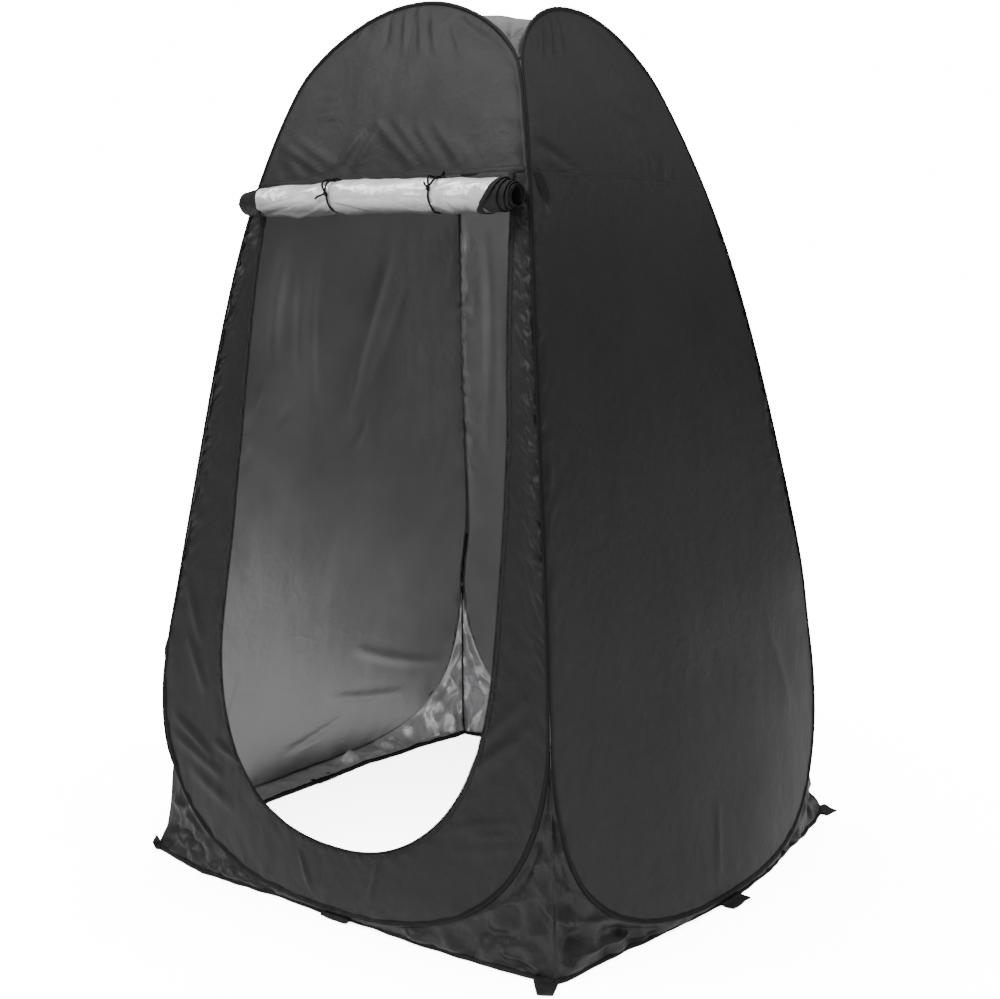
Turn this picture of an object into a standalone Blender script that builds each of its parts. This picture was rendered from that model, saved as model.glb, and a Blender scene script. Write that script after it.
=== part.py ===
"""A pop-up shower tent: four sprung hoops, cloth walls and a zip door rolled up over its doorway.

The tent stands on the ground with its origin at the middle of its footprint, on the ground plane.
The doorway faces -Y. Each wall is turned about Z by quarter turns, so every piece is drawn in the
front wall's own terms: u runs across the wall and z up it, and the wall's surface lies depth(u, z)
in front of the tent's middle. All lengths are in metres.
"""

import math

import bmesh
import bpy
import numpy as np
from mathutils import Vector

# Outer form
STATION_HEIGHTS = (0.0, 0.49, 1.03, 1.57, 1.96)
STATION_HALVES = (0.568, 0.545, 0.468, 0.3535, 0.183)
FRONT_FOOT_BOW = 0.042
SIDE_FOOT_BOW = 0.096
FOOT_BOW_END = 0.88
CREST_BOW = 0.012
CREST_BOW_START = 1.37
GAP = 0.0003

# Sprung hoops, each a steel wire in a sewn sleeve
SLEEVE_RADIUS = 0.0055
HOOP_TOP = 1.8985
HOOP_SPLIT_LOW = 0.533
HOOP_SPLIT_HIGH = 1.735
FRONT_LOW_ROUNDNESS = 2.64
SIDE_LOW_ROUNDNESS = 3.20
FRONT_HIGH_ROUNDNESS = 2.05
SIDE_HIGH_ROUNDNESS = 1.52
HOOP_LOW_STEPS = 18
HOOP_SIDE_STEPS = 12
HOOP_HIGH_STEPS = 16

# Cloth
CLOTH = 0.002
SEAM_HEIGHT = 1.534
SMALLEST_EDGE = 0.003
WALL_COLUMNS = 6
JAMB_COLUMNS = 3
GUSSET_COLUMNS = 3
ROOF_SAG = 0.030
ROOF_RINGS = 7
ROOF_COLUMNS = 14
ROOF_GAP = 0.0014
ROOF_START = 0.015
ROOF_NUDGE = 0.01
ROOF_EDGE_POINTS = 41

# Ground hem and stake tabs
HEM_WIDTH = 0.012
HEM_HEIGHT = 0.010
HEM_STEPS = 12
TAB_THICKNESS = 0.003
SIDE_TAB_WIDTH = 0.070
SIDE_TAB_REACH = 0.035
CORNER_TAB_WING = 0.028
CORNER_TAB_TIP = 0.030
CORNER_TAB_REACH = 0.028

# Doorway
DOOR_BOTTOM = 0.152
DOOR_ROUND_TOP = 0.600
DOOR_ROUNDNESS = 2.32
DOOR_HALF_LOW = 0.381
DOOR_HALF_HIGH = 0.330
DOOR_SHIFT = 0.0225
DOOR_SHIFT_END = 1.03
JAMB_FOOT = 0.450
ZIP_WIDTH = 0.009
ZIP_THICKNESS = 0.003
SILL_STEPS = 26
SILL_BANDS = 3
DOOR_SIDE_STEPS = 12
DOOR_TAPER = 1.8

# Rolled door
ROLL_RADIUS = 0.041
ROLL_HEIGHT = 1.489
ROLL_MIDDLE = 0.014
ROLL_HALF_LENGTH = 0.349
ROLL_CORE_RADIUS = 0.031
ROLL_CORE_REACH = 0.030
ROLL_TILT = math.radians(2.2)
ROLL_SIDES = 20
TIE_PLACES = (-0.100, 0.190)
TIE_RADIUS = 0.0015
TIE_PINCH = 0.004
TIE_GROOVE = 0.008

# Finishes: colour, roughness, metallic
BLACK_TAFFETA = ("black_taffeta", (0.030, 0.030, 0.032), 0.62, 0.0)
SLEEVE_BLACK = ("sleeve_black", (0.015, 0.015, 0.016), 0.70, 0.0)
WEBBING_BLACK = ("webbing_black", (0.020, 0.020, 0.021), 0.80, 0.0)
SILVER_CLOTH = ("silver_cloth", (0.72, 0.72, 0.73), 0.38, 0.35)
CORD_BLACK = ("cord_black", (0.012, 0.012, 0.012), 0.75, 0.0)

SIDES = ("front", "right", "back", "left")
FOOT_BOWS = dict(zip(SIDES, (FRONT_FOOT_BOW, SIDE_FOOT_BOW) * 2))
LOW_ROUNDNESSES = dict(zip(SIDES, (FRONT_LOW_ROUNDNESS, SIDE_LOW_ROUNDNESS) * 2))
HIGH_ROUNDNESSES = dict(zip(SIDES, (FRONT_HIGH_ROUNDNESS, SIDE_HIGH_ROUNDNESS) * 2))
WALL_CURVE = np.polyfit(STATION_HEIGHTS, STATION_HALVES, len(STATION_HEIGHTS) - 1)
CORNER_INSET = (2 * SLEEVE_RADIUS + GAP) / math.sqrt(2)
HOOP_BOTTOM = HEM_HEIGHT + GAP + SLEEVE_RADIUS
HEM_TOP = HEM_HEIGHT + GAP


def clear_scene():
    for thing in list(bpy.data.objects):
        bpy.data.objects.remove(thing, do_unlink=True)


def finish(spec):
    """The material for one finish, made once."""
    name, colour, roughness, metallic = spec
    found = bpy.data.materials.get(name)
    if found:
        return found
    made = bpy.data.materials.new(name)
    made.use_nodes = True
    shader = made.node_tree.nodes["Principled BSDF"]
    shader.inputs["Base Color"].default_value = (*colour, 1.0)
    shader.inputs["Roughness"].default_value = roughness
    shader.inputs["Metallic"].default_value = metallic
    return made


def add_piece(name, data, spec, side="front"):
    """Put a mesh or curve in the scene as one named piece, turned to its wall."""
    piece = bpy.data.objects.new(name, data)
    bpy.context.scene.collection.objects.link(piece)
    piece.rotation_euler.z = SIDES.index(side) * math.pi / 2
    if not data.materials:
        data.materials.append(finish(spec))
    return piece


def mesh_from(name, build):
    """A mesh made by one bmesh function, with its faces turned out."""
    shape = bmesh.new()
    build(shape)
    bmesh.ops.recalc_face_normals(shape, faces=shape.faces)
    if shape.calc_volume(signed=True) < 0:
        bmesh.ops.reverse_faces(shape, faces=shape.faces)
    data = bpy.data.meshes.new(name)
    shape.to_mesh(data)
    shape.free()
    return data


def half_width(z):
    """How far the tent's corner stands out from its middle at height z, each way."""
    return float(np.polyval(WALL_CURVE, z))


def bow(z, side):
    """How far a wall's middle bulges out past its two corners at height z."""
    foot = max(1 - z / FOOT_BOW_END, 0.0) ** 2
    crest = max((z - CREST_BOW_START) / (HOOP_TOP - CREST_BOW_START), 0.0) ** 2
    return FOOT_BOWS[side] * foot + CREST_BOW * crest


def depth(u, z, side):
    """How far a wall's surface stands in front of the tent's middle."""
    half = half_width(z)
    return half + bow(z, side) * (1 - (u / half) ** 2)


def wall_point(u, z, side, lift=0.0):
    """A point a lift outside a wall, kept to the wall's own side of the corner's diagonal."""
    half = half_width(z)
    if abs(u) > half - GAP:
        u = math.copysign(half + (lift - GAP) / (1 + 2 * bow(z, side) / half), u)
    return Vector((u, -depth(u, z, side) - lift, z))


def hoop_line(side):
    """Half of a hoop's middle line, from its lowest point to its highest, as (u, z) points."""
    low, high = 2 / LOW_ROUNDNESSES[side], 2 / HIGH_ROUNDNESSES[side]
    points = []
    for step in range(HOOP_LOW_STEPS + 1):
        turn = math.pi / 2 * (1 - step / HOOP_LOW_STEPS)
        z = HOOP_SPLIT_LOW - (HOOP_SPLIT_LOW - HOOP_BOTTOM) * math.sin(turn) ** low
        points.append((max(math.cos(turn), 0.0) ** low, z))
    points[0] = (0.0, HOOP_BOTTOM)
    for step in range(1, HOOP_SIDE_STEPS):
        points.append((1.0, HOOP_SPLIT_LOW + (HOOP_SPLIT_HIGH - HOOP_SPLIT_LOW) * step / HOOP_SIDE_STEPS))
    for step in range(HOOP_HIGH_STEPS + 1):
        turn = math.pi / 2 * step / HOOP_HIGH_STEPS
        z = HOOP_SPLIT_HIGH + (HOOP_TOP - HOOP_SPLIT_HIGH) * math.sin(turn) ** high
        points.append((max(math.cos(turn), 0.0) ** high, z))
    points[-1] = (0.0, HOOP_TOP)
    return [((half_width(z) - CORNER_INSET) * share, z) for share, z in points]


def offset_line(line, distance):
    """The line moved sideways by a distance, inwards when it is positive."""
    moved = []
    last = len(line) - 1
    for i, (u, z) in enumerate(line):
        before, after = line[max(i - 1, 0)], line[min(i + 1, last)]
        run = Vector((after[0] - before[0], after[1] - before[1])).normalized()
        if i == 0:
            run = Vector((1.0, 0.0))
        elif i == last and u < SMALLEST_EDGE:
            run = Vector((-1.0, 0.0))
        moved.append((u - run.y * distance, z + run.x * distance))
    return moved


def reach_at(line, z):
    """How far out a line stands at height z, for a line that climbs all the way."""
    heights = [point[1] for point in line]
    reaches = [point[0] for point in line]
    return float(np.interp(z, heights, reaches))


def door_line(hand):
    """One side of the doorway's edge, from its lowest point up to the seam, as (u * hand, z) points."""
    points = [(0.0, DOOR_BOTTOM)]
    for step in range(1, SILL_STEPS + 1):
        turn = math.pi / 2 * (1 - step / SILL_STEPS)
        z = DOOR_ROUND_TOP - (DOOR_ROUND_TOP - DOOR_BOTTOM) * math.sin(turn) ** (2 / DOOR_ROUNDNESS)
        points.append((DOOR_HALF_LOW * max(math.cos(turn), 0.0) ** (2 / DOOR_ROUNDNESS), z))
    top = SEAM_HEIGHT - GAP
    for step in range(1, DOOR_SIDE_STEPS + 1):
        share = step / DOOR_SIDE_STEPS
        half = DOOR_HALF_LOW + (DOOR_HALF_HIGH - DOOR_HALF_LOW) * share ** DOOR_TAPER
        points.append((half, DOOR_ROUND_TOP + (top - DOOR_ROUND_TOP) * share))
    moved = []
    for u, z in points:
        share = min((SEAM_HEIGHT - z) / (SEAM_HEIGHT - DOOR_SHIFT_END), 1.0)
        moved.append((u + hand * DOOR_SHIFT * share, z))
    return moved


def both_hands(make_rows):
    """Rows for a piece that crosses the front wall, from a function that makes one hand's rows upwards."""
    left = [[(-u, z) for u, z in row] for row in reversed(make_rows(-1)[1:])]
    return left + make_rows(1)


def cloth_sheet(name, grid, side="front", thickness=CLOTH):
    """A closed sheet on a wall's surface, from rows of (u, z) points."""

    def build(shape):
        layers = []
        for lift in (thickness / 2, -thickness / 2):
            layers.append([[shape.verts.new(wall_point(u, z, side, lift)) for u, z in row] for row in grid])
        close_sheet(shape, layers)

    return mesh_from(name, build)


def close_sheet(shape, layers):
    """Faces over both layers of a sheet and round its edge. A row may be drawn together to one point."""
    outer, inner = layers
    rows, columns = len(outer), len(outer[0])

    def add_face(*corners):
        corners = list(dict.fromkeys(corners))
        if len(corners) > 2:
            shape.faces.new(corners)

    for i in range(rows - 1):
        for j in range(columns - 1):
            for layer in layers:
                add_face(layer[i][j], layer[i][j + 1], layer[i + 1][j + 1], layer[i + 1][j])
        for j in (0, columns - 1):
            add_face(outer[i][j], outer[i + 1][j], inner[i + 1][j], inner[i][j])
    for i in (0, rows - 1):
        for j in range(columns - 1):
            add_face(outer[i][j], outer[i][j + 1], inner[i][j + 1], inner[i][j])


def extruded_plan(name, outline, height):
    """A flat plate on the ground, from its outline seen from above."""

    def build(shape):
        base = shape.faces.new([shape.verts.new((point[0], point[1], 0.0)) for point in outline])
        grown = bmesh.ops.extrude_face_region(shape, geom=[base])
        raised = [item for item in grown["geom"] if isinstance(item, bmesh.types.BMVert)]
        bmesh.ops.translate(shape, verts=raised, vec=(0, 0, height))

    return mesh_from(name, build)


def make_hoops():
    """Four closed hoops, one round each wall, that run side by side up the tent's corners."""
    for side in SIDES:
        half = hoop_line(side)
        loop = half + [(-u, z) for u, z in reversed(half[1:-1])]
        data = bpy.data.curves.new(side + "_hoop", "CURVE")
        data.dimensions = "3D"
        data.bevel_depth = SLEEVE_RADIUS
        data.bevel_resolution = 2
        path = data.splines.new("POLY")
        path.points.add(len(loop) - 1)
        for point, (u, z) in zip(path.points, loop):
            point.co = (*wall_point(u, z, side), 1.0)
        path.use_cyclic_u = True
        add_piece(side + "_hoop", data, SLEEVE_BLACK, side)


def across(start, end, columns):
    """Evenly spaced (u, z) points from one point to another."""
    shares = [column / columns for column in range(columns + 1)]
    return [(start[0] + (end[0] - start[0]) * s, start[1] + (end[1] - start[1]) * s) for s in shares]


def wall_rows(side, low, high):
    """Rows of a wall that fills its hoop between two heights."""
    edge = offset_line(hoop_line(side), SLEEVE_RADIUS + GAP)
    heights = [z for u, z in edge if low < z < high and u > SMALLEST_EDGE]
    if low > edge[0][1]:
        heights.insert(0, low)
    if high < edge[-1][1]:
        heights.append(high)
    return [across((-reach_at(edge, z), z), (reach_at(edge, z), z), WALL_COLUMNS) for z in heights]


def make_plain_walls():
    """The back and both side walls, each of an upper and a lower cloth that meet at one seam."""
    for side in ("right", "back", "left"):
        for name, low, high in ((side + "_upper_panel", SEAM_HEIGHT + GAP / 2, HOOP_TOP),
                                (side + "_lower_panel", HOOP_BOTTOM, SEAM_HEIGHT - GAP / 2)):
            add_piece(name, cloth_sheet(name, wall_rows(side, low, high), side), BLACK_TAFFETA, side)


def make_front_wall():
    """The front wall: a cloth over the doorway, a jamb at each side of it and a sill under it."""
    top = cloth_sheet("front_top_panel", wall_rows("front", SEAM_HEIGHT + GAP / 2, HOOP_TOP))
    add_piece("front_top_panel", top, BLACK_TAFFETA)
    hoop_edge = offset_line(hoop_line("front"), SLEEVE_RADIUS + GAP)
    foot = JAMB_FOOT + GAP / 2

    def zip_edge(hand):
        edge = offset_line(door_line(hand), -(ZIP_WIDTH + GAP))
        edge[-1] = (edge[-1][0], SEAM_HEIGHT - GAP)
        return edge

    for name, hand in (("front_left_jamb", -1), ("front_right_jamb", 1)):
        edge = zip_edge(hand)
        rows = []
        for z in [foot] + [z for u, z in edge if z > foot + SMALLEST_EDGE]:
            start, end = (hand * reach_at(edge, z), z), (hand * reach_at(hoop_edge, z), z)
            rows.append(across(start, end, JAMB_COLUMNS))
        add_piece(name, cloth_sheet(name, rows), BLACK_TAFFETA)

    def sill_rows(hand):
        inner = up_to(zip_edge(hand), JAMB_FOOT - GAP / 2)
        outer = evenly(up_to(hoop_edge, JAMB_FOOT - GAP / 2), len(inner))
        return [across(near, far, SILL_BANDS) for near, far in zip(inner, outer)]

    add_piece("front_sill", cloth_sheet("front_sill", both_hands(sill_rows)), BLACK_TAFFETA)


def up_to(line, top):
    """The part of a climbing line that lies below a height, ended at that height."""
    return [point for point in line if point[1] < top - SMALLEST_EDGE] + [(reach_at(line, top), top)]


def evenly(line, count):
    """A line's own course as evenly spaced points."""
    steps = [0.0]
    for before, after in zip(line, line[1:]):
        steps.append(steps[-1] + math.dist(before, after))
    places = np.linspace(0.0, steps[-1], count)
    across = np.interp(places, steps, [point[0] for point in line])
    up = np.interp(places, steps, [point[1] for point in line])
    return [(float(u), float(z)) for u, z in zip(across, up)]


def make_door_zip():
    """The zip's tape, one strip round the doorway's sides and foot."""

    def tape_rows(hand):
        inside = door_line(hand)
        outside = offset_line(inside, -ZIP_WIDTH)
        outside[-1] = (outside[-1][0], inside[-1][1])
        return [[near, far] for near, far in zip(inside, outside)]

    tape = cloth_sheet("door_zip", both_hands(tape_rows), thickness=ZIP_THICKNESS)
    add_piece("door_zip", tape, WEBBING_BLACK)


def roof_edge(side, turns):
    """The roof cloth's edge by one hoop: a function from a share, 0 to 1 across its top, to a point.

    The point stands square to the hoop's run, and is turned from the hoop's own wall by quarter turns.
    """
    line = [point for point in hoop_line(side) if point[1] >= HOOP_SPLIT_HIGH + ROOF_START]
    line = [(-u, z) for u, z in line] + [(u, z) for u, z in reversed(line[:-1])]
    line = evenly(line, ROOF_EDGE_POINTS)
    places = np.linspace(0.0, 1.0, ROOF_EDGE_POINTS)

    def on_hoop(share):
        u, z = (float(np.interp(share, places, [point[k] for point in line])) for k in (0, 1))
        return wall_point(u, z, side)

    def on_edge(share):
        run = (on_hoop(min(share + ROOF_NUDGE, 1.0)) - on_hoop(max(share - ROOF_NUDGE, 0.0))).normalized()
        inwards = Vector((0.0, 1.0, 0.0))
        inwards = (inwards - run * run.dot(inwards)).normalized()
        point = on_hoop(share) + inwards * (SLEEVE_RADIUS + ROOF_GAP)
        for _ in range(turns):
            point = Vector((-point.y, point.x, point.z))
        return point

    return on_edge


def roof_gore(name, edges):
    """One gore, from the hoop of the first of four roof edges to the roof's middle, which sags a little."""

    def roof(a, b):
        """The roof's middle surface, a across from left to right and b from front to back, both 0 to 1."""
        front_to_back = edges[0](a).lerp(edges[2](1 - a), b)
        left_to_right = edges[3](1 - b).lerp(edges[1](b), a)
        wide, deep = a * (1 - a), b * (1 - b)
        if wide + deep == 0:
            return (front_to_back + left_to_right) / 2
        point = (front_to_back * wide + left_to_right * deep) / (wide + deep)
        point.z -= ROOF_SAG * (4 * wide) * (4 * deep)
        return point

    def layered(a, b, lift):
        """A point a lift above the roof's middle surface, kept to the front gore's side of the diagonals."""
        a_low, a_high = max(a - ROOF_NUDGE, 0.0), min(a + ROOF_NUDGE, 1.0)
        b_low, b_high = max(b - ROOF_NUDGE, 0.0), min(b + ROOF_NUDGE, 1.0)
        upwards = (roof(a_high, b) - roof(a_low, b)).cross(roof(a, b_high) - roof(a, b_low)).normalized()
        point = roof(a, b) + upwards * lift
        point.y = min(point.y, -GAP)
        limit = -point.y - GAP
        point.x = min(max(point.x, -limit), limit)
        return point

    def build(shape):
        layers = []
        for lift in (CLOTH / 2, -CLOTH / 2):
            rows = []
            for ring in range(ROOF_RINGS):
                inwards = ring / ROOF_RINGS
                shares = [0.5 + (column / ROOF_COLUMNS - 0.5) * (1 - inwards) for column in range(ROOF_COLUMNS + 1)]
                rows.append([shape.verts.new(layered(a, inwards / 2, lift)) for a in shares])
            rows.append([shape.verts.new(layered(0.5, 0.5, lift))] * (ROOF_COLUMNS + 1))
            layers.append(rows)
        close_sheet(shape, layers)

    return mesh_from(name, build)


def make_roof():
    """The roof cloth in four gores that meet in its middle, one stretched from each hoop's top."""
    for number, side in enumerate(SIDES):
        edges = [roof_edge(SIDES[(number + turns) % len(SIDES)], turns) for turns in range(len(SIDES))]
        name = side + "_roof_gore"
        add_piece(name, roof_gore(name, edges), BLACK_TAFFETA, side)


def make_gussets():
    """The corner cloths below the hoops' fork, two at each corner, down to the ground hem."""
    for number, side in enumerate(SIDES):
        hoop_edge = offset_line(hoop_line(side), -(SLEEVE_RADIUS + GAP))
        heights = [z for u, z in hoop_edge if HEM_TOP + SMALLEST_EDGE < z < HOOP_SPLIT_LOW]
        for hand in (-1, 1):
            rows = []
            for z in [HEM_TOP] + heights:
                inner, corner = reach_at(hoop_edge, max(z, heights[0])), half_width(z)
                if corner - inner > SMALLEST_EDGE:
                    rows.append(across((hand * inner, z), (hand * corner, z), GUSSET_COLUMNS))
            name = side + "_gusset_by_" + SIDES[(number + hand) % len(SIDES)]
            add_piece(name, cloth_sheet(name, rows, side), BLACK_TAFFETA, side)


def make_hems():
    """The bound hem on the ground, one length a wall, mitred at the corners."""
    half = half_width(0.0)
    line = [point[0] for point in across((-half, 0.0), (half, 0.0), HEM_STEPS)]
    for side in SIDES:
        outline = [wall_point(u, 0.0, side, HEM_WIDTH / 2) for u in line]
        outline += [wall_point(u, 0.0, side, -HEM_WIDTH / 2) for u in reversed(line)]
        add_piece(side + "_hem", extruded_plan(side + "_hem", outline, HEM_HEIGHT), WEBBING_BLACK, side)


def make_stake_tabs():
    """Flat webbing tabs that pegs go through, one at each corner and one at each wall's middle."""
    clear = HEM_WIDTH / 2 + GAP
    half = SIDE_TAB_WIDTH / 2
    outwards = Vector((1.0, -1.0, 0.0)).normalized()
    sideways = Vector((1.0, 1.0, 0.0)).normalized() * CORNER_TAB_TIP / 2
    foot_half = half_width(0.0)
    for number, side in enumerate(SIDES):
        face = depth(0.0, 0.0, side) + clear
        outline = [(-half, -face), (-half, -face - SIDE_TAB_REACH), (half, -face - SIDE_TAB_REACH), (half, -face)]
        name = side + "_stake_tab"
        add_piece(name, extruded_plan(name, outline, TAB_THICKNESS), WEBBING_BLACK, side)
        after = SIDES[(number + 1) % len(SIDES)]
        near = wall_point(foot_half - CORNER_TAB_WING, 0.0, side, clear)
        beyond = wall_point(CORNER_TAB_WING - foot_half, 0.0, after, clear)
        far = Vector((-beyond.y, beyond.x, 0.0))
        notch = foot_half + clear / (1 + 2 * FRONT_FOOT_BOW / foot_half)
        corner = Vector((notch, -notch, 0.0))
        tip = corner + outwards * CORNER_TAB_REACH
        name = side + "_" + after + "_stake_tab"
        outline = [corner, near, tip - sideways, tip + sideways, far]
        add_piece(name, extruded_plan(name, outline, TAB_THICKNESS), WEBBING_BLACK, side)


def make_door_roll():
    """The zip door rolled up at the top of the doorway, nipped in where its two ties hold it.

    The door is widest at its middle, so the roll's inner turns reach out past its outer ones at both ends.
    """
    end = [(ROLL_HALF_LENGTH - TIE_PINCH, ROLL_RADIUS), (ROLL_HALF_LENGTH, ROLL_RADIUS - TIE_PINCH),
           (ROLL_HALF_LENGTH, ROLL_CORE_RADIUS), (ROLL_HALF_LENGTH + ROLL_CORE_REACH - TIE_PINCH, ROLL_CORE_RADIUS),
           (ROLL_HALF_LENGTH + ROLL_CORE_REACH, ROLL_CORE_RADIUS - TIE_PINCH),
           (ROLL_HALF_LENGTH + ROLL_CORE_REACH, 0.0)]
    profile = [(-x, radius) for x, radius in reversed(end)]
    for place in TIE_PLACES:
        profile += [(place - TIE_GROOVE, ROLL_RADIUS), (place - TIE_GROOVE / 2, ROLL_RADIUS - TIE_PINCH),
                    (place + TIE_GROOVE / 2, ROLL_RADIUS - TIE_PINCH), (place + TIE_GROOVE, ROLL_RADIUS)]
    profile += end

    def build(shape):
        line = [shape.verts.new((x, 0.0, radius)) for x, radius in profile]
        edges = [shape.edges.new(pair) for pair in zip(line, line[1:])]
        bmesh.ops.spin(shape, geom=line + edges, axis=(1, 0, 0), cent=(0, 0, 0),
                       angle=2 * math.pi, steps=ROLL_SIDES, use_merge=True)
        bmesh.ops.remove_doubles(shape, verts=shape.verts, dist=1e-5)

    seat_roll(add_piece("door_roll", mesh_from("door_roll", build), SILVER_CLOTH))
    for name, place in (("left_door_tie", TIE_PLACES[0]), ("right_door_tie", TIE_PLACES[1])):
        seat_roll(make_tie(name, place))


def seat_roll(piece):
    """Lay a piece of the roll against the front wall, with its right end a little lower."""
    lift = 0.001
    lean = (half_width(ROLL_HEIGHT - lift) - half_width(ROLL_HEIGHT + lift)) / (2 * lift)
    stand_off = (ROLL_RADIUS + ZIP_THICKNESS / 2 + GAP) * math.sqrt(1 + lean * lean)
    front = -depth(DOOR_HALF_HIGH, ROLL_HEIGHT, "front") - stand_off
    piece.location = (ROLL_MIDDLE, front, ROLL_HEIGHT)
    piece.rotation_euler = (0.0, ROLL_TILT, -lean * ROLL_TILT)


def make_tie(name, place):
    """One cord tie, a ring of cord drawn tight in the roll's groove."""
    ring = ROLL_RADIUS - TIE_PINCH + TIE_RADIUS + GAP
    data = bpy.data.curves.new(name, "CURVE")
    data.dimensions = "3D"
    data.bevel_depth = TIE_RADIUS
    data.bevel_resolution = 1
    path = data.splines.new("POLY")
    steps = ROLL_SIDES
    path.points.add(steps - 1)
    for step, point in enumerate(path.points):
        turn = 2 * math.pi * step / steps
        point.co = (place, ring * math.sin(turn), ring * math.cos(turn), 1.0)
    path.use_cyclic_u = True
    return add_piece(name, data, CORD_BLACK)


def make_tent():
    clear_scene()
    make_hoops()
    make_plain_walls()
    make_front_wall()
    make_door_zip()
    make_roof()
    make_gussets()
    make_hems()
    make_stake_tabs()
    make_door_roll()


make_tent()
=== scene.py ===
"""A pop-up shower tent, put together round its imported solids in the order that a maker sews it."""

import math

import bmesh
import bpy
import numpy as np
from mathutils import Matrix, Vector


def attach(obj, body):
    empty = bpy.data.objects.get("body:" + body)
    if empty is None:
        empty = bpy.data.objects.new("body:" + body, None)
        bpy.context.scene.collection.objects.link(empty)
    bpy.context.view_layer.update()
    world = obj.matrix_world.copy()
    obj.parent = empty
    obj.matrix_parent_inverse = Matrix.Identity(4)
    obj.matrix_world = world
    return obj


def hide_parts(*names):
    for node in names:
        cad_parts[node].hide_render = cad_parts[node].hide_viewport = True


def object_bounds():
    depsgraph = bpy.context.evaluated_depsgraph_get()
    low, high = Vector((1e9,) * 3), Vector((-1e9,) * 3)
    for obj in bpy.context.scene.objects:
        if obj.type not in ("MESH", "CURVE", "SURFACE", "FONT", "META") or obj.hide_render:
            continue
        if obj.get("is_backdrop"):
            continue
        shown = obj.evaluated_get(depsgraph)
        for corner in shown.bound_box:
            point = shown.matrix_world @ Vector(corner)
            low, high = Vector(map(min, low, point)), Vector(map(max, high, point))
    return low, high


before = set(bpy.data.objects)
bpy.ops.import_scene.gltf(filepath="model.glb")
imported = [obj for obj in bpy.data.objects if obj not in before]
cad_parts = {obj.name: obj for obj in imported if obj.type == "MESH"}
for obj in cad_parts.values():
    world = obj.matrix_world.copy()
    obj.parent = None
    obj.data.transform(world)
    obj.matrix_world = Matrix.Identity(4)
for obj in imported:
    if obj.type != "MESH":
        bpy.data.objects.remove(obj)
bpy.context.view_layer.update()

bpy.ops.object.select_all(action="DESELECT")

# The picture: the tent stands on a plain pale floor, seen from its front right corner at chest height.
# A wide soft light hangs over it, a second stands high at the front left, and a weak one fills its right wall.
EYE = Vector((2.0755, -2.6861, 1.3165))
EYE_YAW, EYE_PITCH, EYE_ROLL = 0.6543, 0.1485, -0.0097
onward = Vector((-math.sin(EYE_YAW), math.cos(EYE_YAW), 0.0))
ahead = onward * math.cos(EYE_PITCH) - Vector((0.0, 0.0, math.sin(EYE_PITCH)))
level = Vector((math.cos(EYE_YAW), math.sin(EYE_YAW), 0.0))
upright = level.cross(ahead)
eye_x = level * math.cos(EYE_ROLL) + upright * math.sin(EYE_ROLL)
eye_y = upright * math.cos(EYE_ROLL) - level * math.sin(EYE_ROLL)
bpy.ops.object.camera_add()
camera = bpy.context.object
camera.data.sensor_width = 36.0
camera.data.lens = 52.41
camera.matrix_world = Matrix((eye_x, eye_y, -ahead)).transposed().to_4x4()
camera.location = EYE
bpy.context.scene.camera = camera

LIT_PLACE = Vector((0.0, 0.0, 0.9))
for name, place, size, power in (
    ("top_light", (0.2, -0.7, 5.2), 3.6, 120.0),
    ("key_light", (-2.6, -3.6, 5.4), 2.6, 200.0),
    ("rim_light", (3.2, 3.6, 5.0), 3.0, 60.0),
    ("fill_light", (3.6, -4.6, 3.6), 2.4, 80.0),
    ("crown_light", (-2.2, 2.6, 5.2), 2.2, 78.0),
):
    bpy.ops.object.light_add(type="AREA", location=place)
    lamp = bpy.context.object
    lamp.name = name
    lamp.data.size = size
    lamp.data.energy = power
    lamp.rotation_euler = (LIT_PLACE - Vector(place)).to_track_quat("-Z", "Y").to_euler()

WHITE = (1.0, 1.0, 1.0, 1.0)
WHITE_BEHIND = 16.0
SKY_GLOW, FLOOR_GLOW = 0.15, 0.62
FLOOR_SIZE, FLOOR_DROP = 60.0, 0.001
SHADE_REACH, SHADE_SOFTNESS = 1.6, 0.5


def put(tree, kind, inputs=None, **settings):
    """One node, with its settings and its inputs, which are values or other nodes' outputs."""
    made = tree.nodes.new(kind)
    for name, value in settings.items():
        setattr(made, name, value)
    for name, value in (inputs or {}).items():
        if isinstance(value, bpy.types.NodeSocket):
            tree.links.new(value, made.inputs[name])
        else:
            made.inputs[name].default_value = value
    return made


def sums(tree, operation, *terms):
    """One step of arithmetic on values or other nodes' outputs."""
    return put(tree, "ShaderNodeMath", dict(enumerate(terms)), operation=operation).outputs[0]


def ranged(tree, value, low, high, to_low=0.0, to_high=1.0):
    """A value carried from one range to another, and held to it."""
    ends = {"From Min": low, "From Max": high, "To Min": to_low, "To Max": to_high}
    return put(tree, "ShaderNodeMapRange", {"Value": value, **ends}).outputs["Result"]


def camera_glow(tree, dim, bright):
    """A glow that is bright only where the camera itself sees it, and dim where it lights the tent."""
    return ranged(tree, put(tree, "ShaderNodeLightPath").outputs["Is Camera Ray"], 0.0, 1.0, dim, bright)


sky = bpy.data.worlds.new("studio")
bpy.context.scene.world = sky
sky.use_nodes = True
glow = sky.node_tree.nodes["Background"].inputs
sky.node_tree.links.new(camera_glow(sky.node_tree, SKY_GLOW, WHITE_BEHIND), glow["Strength"])
glow["Color"].default_value = WHITE

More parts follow.
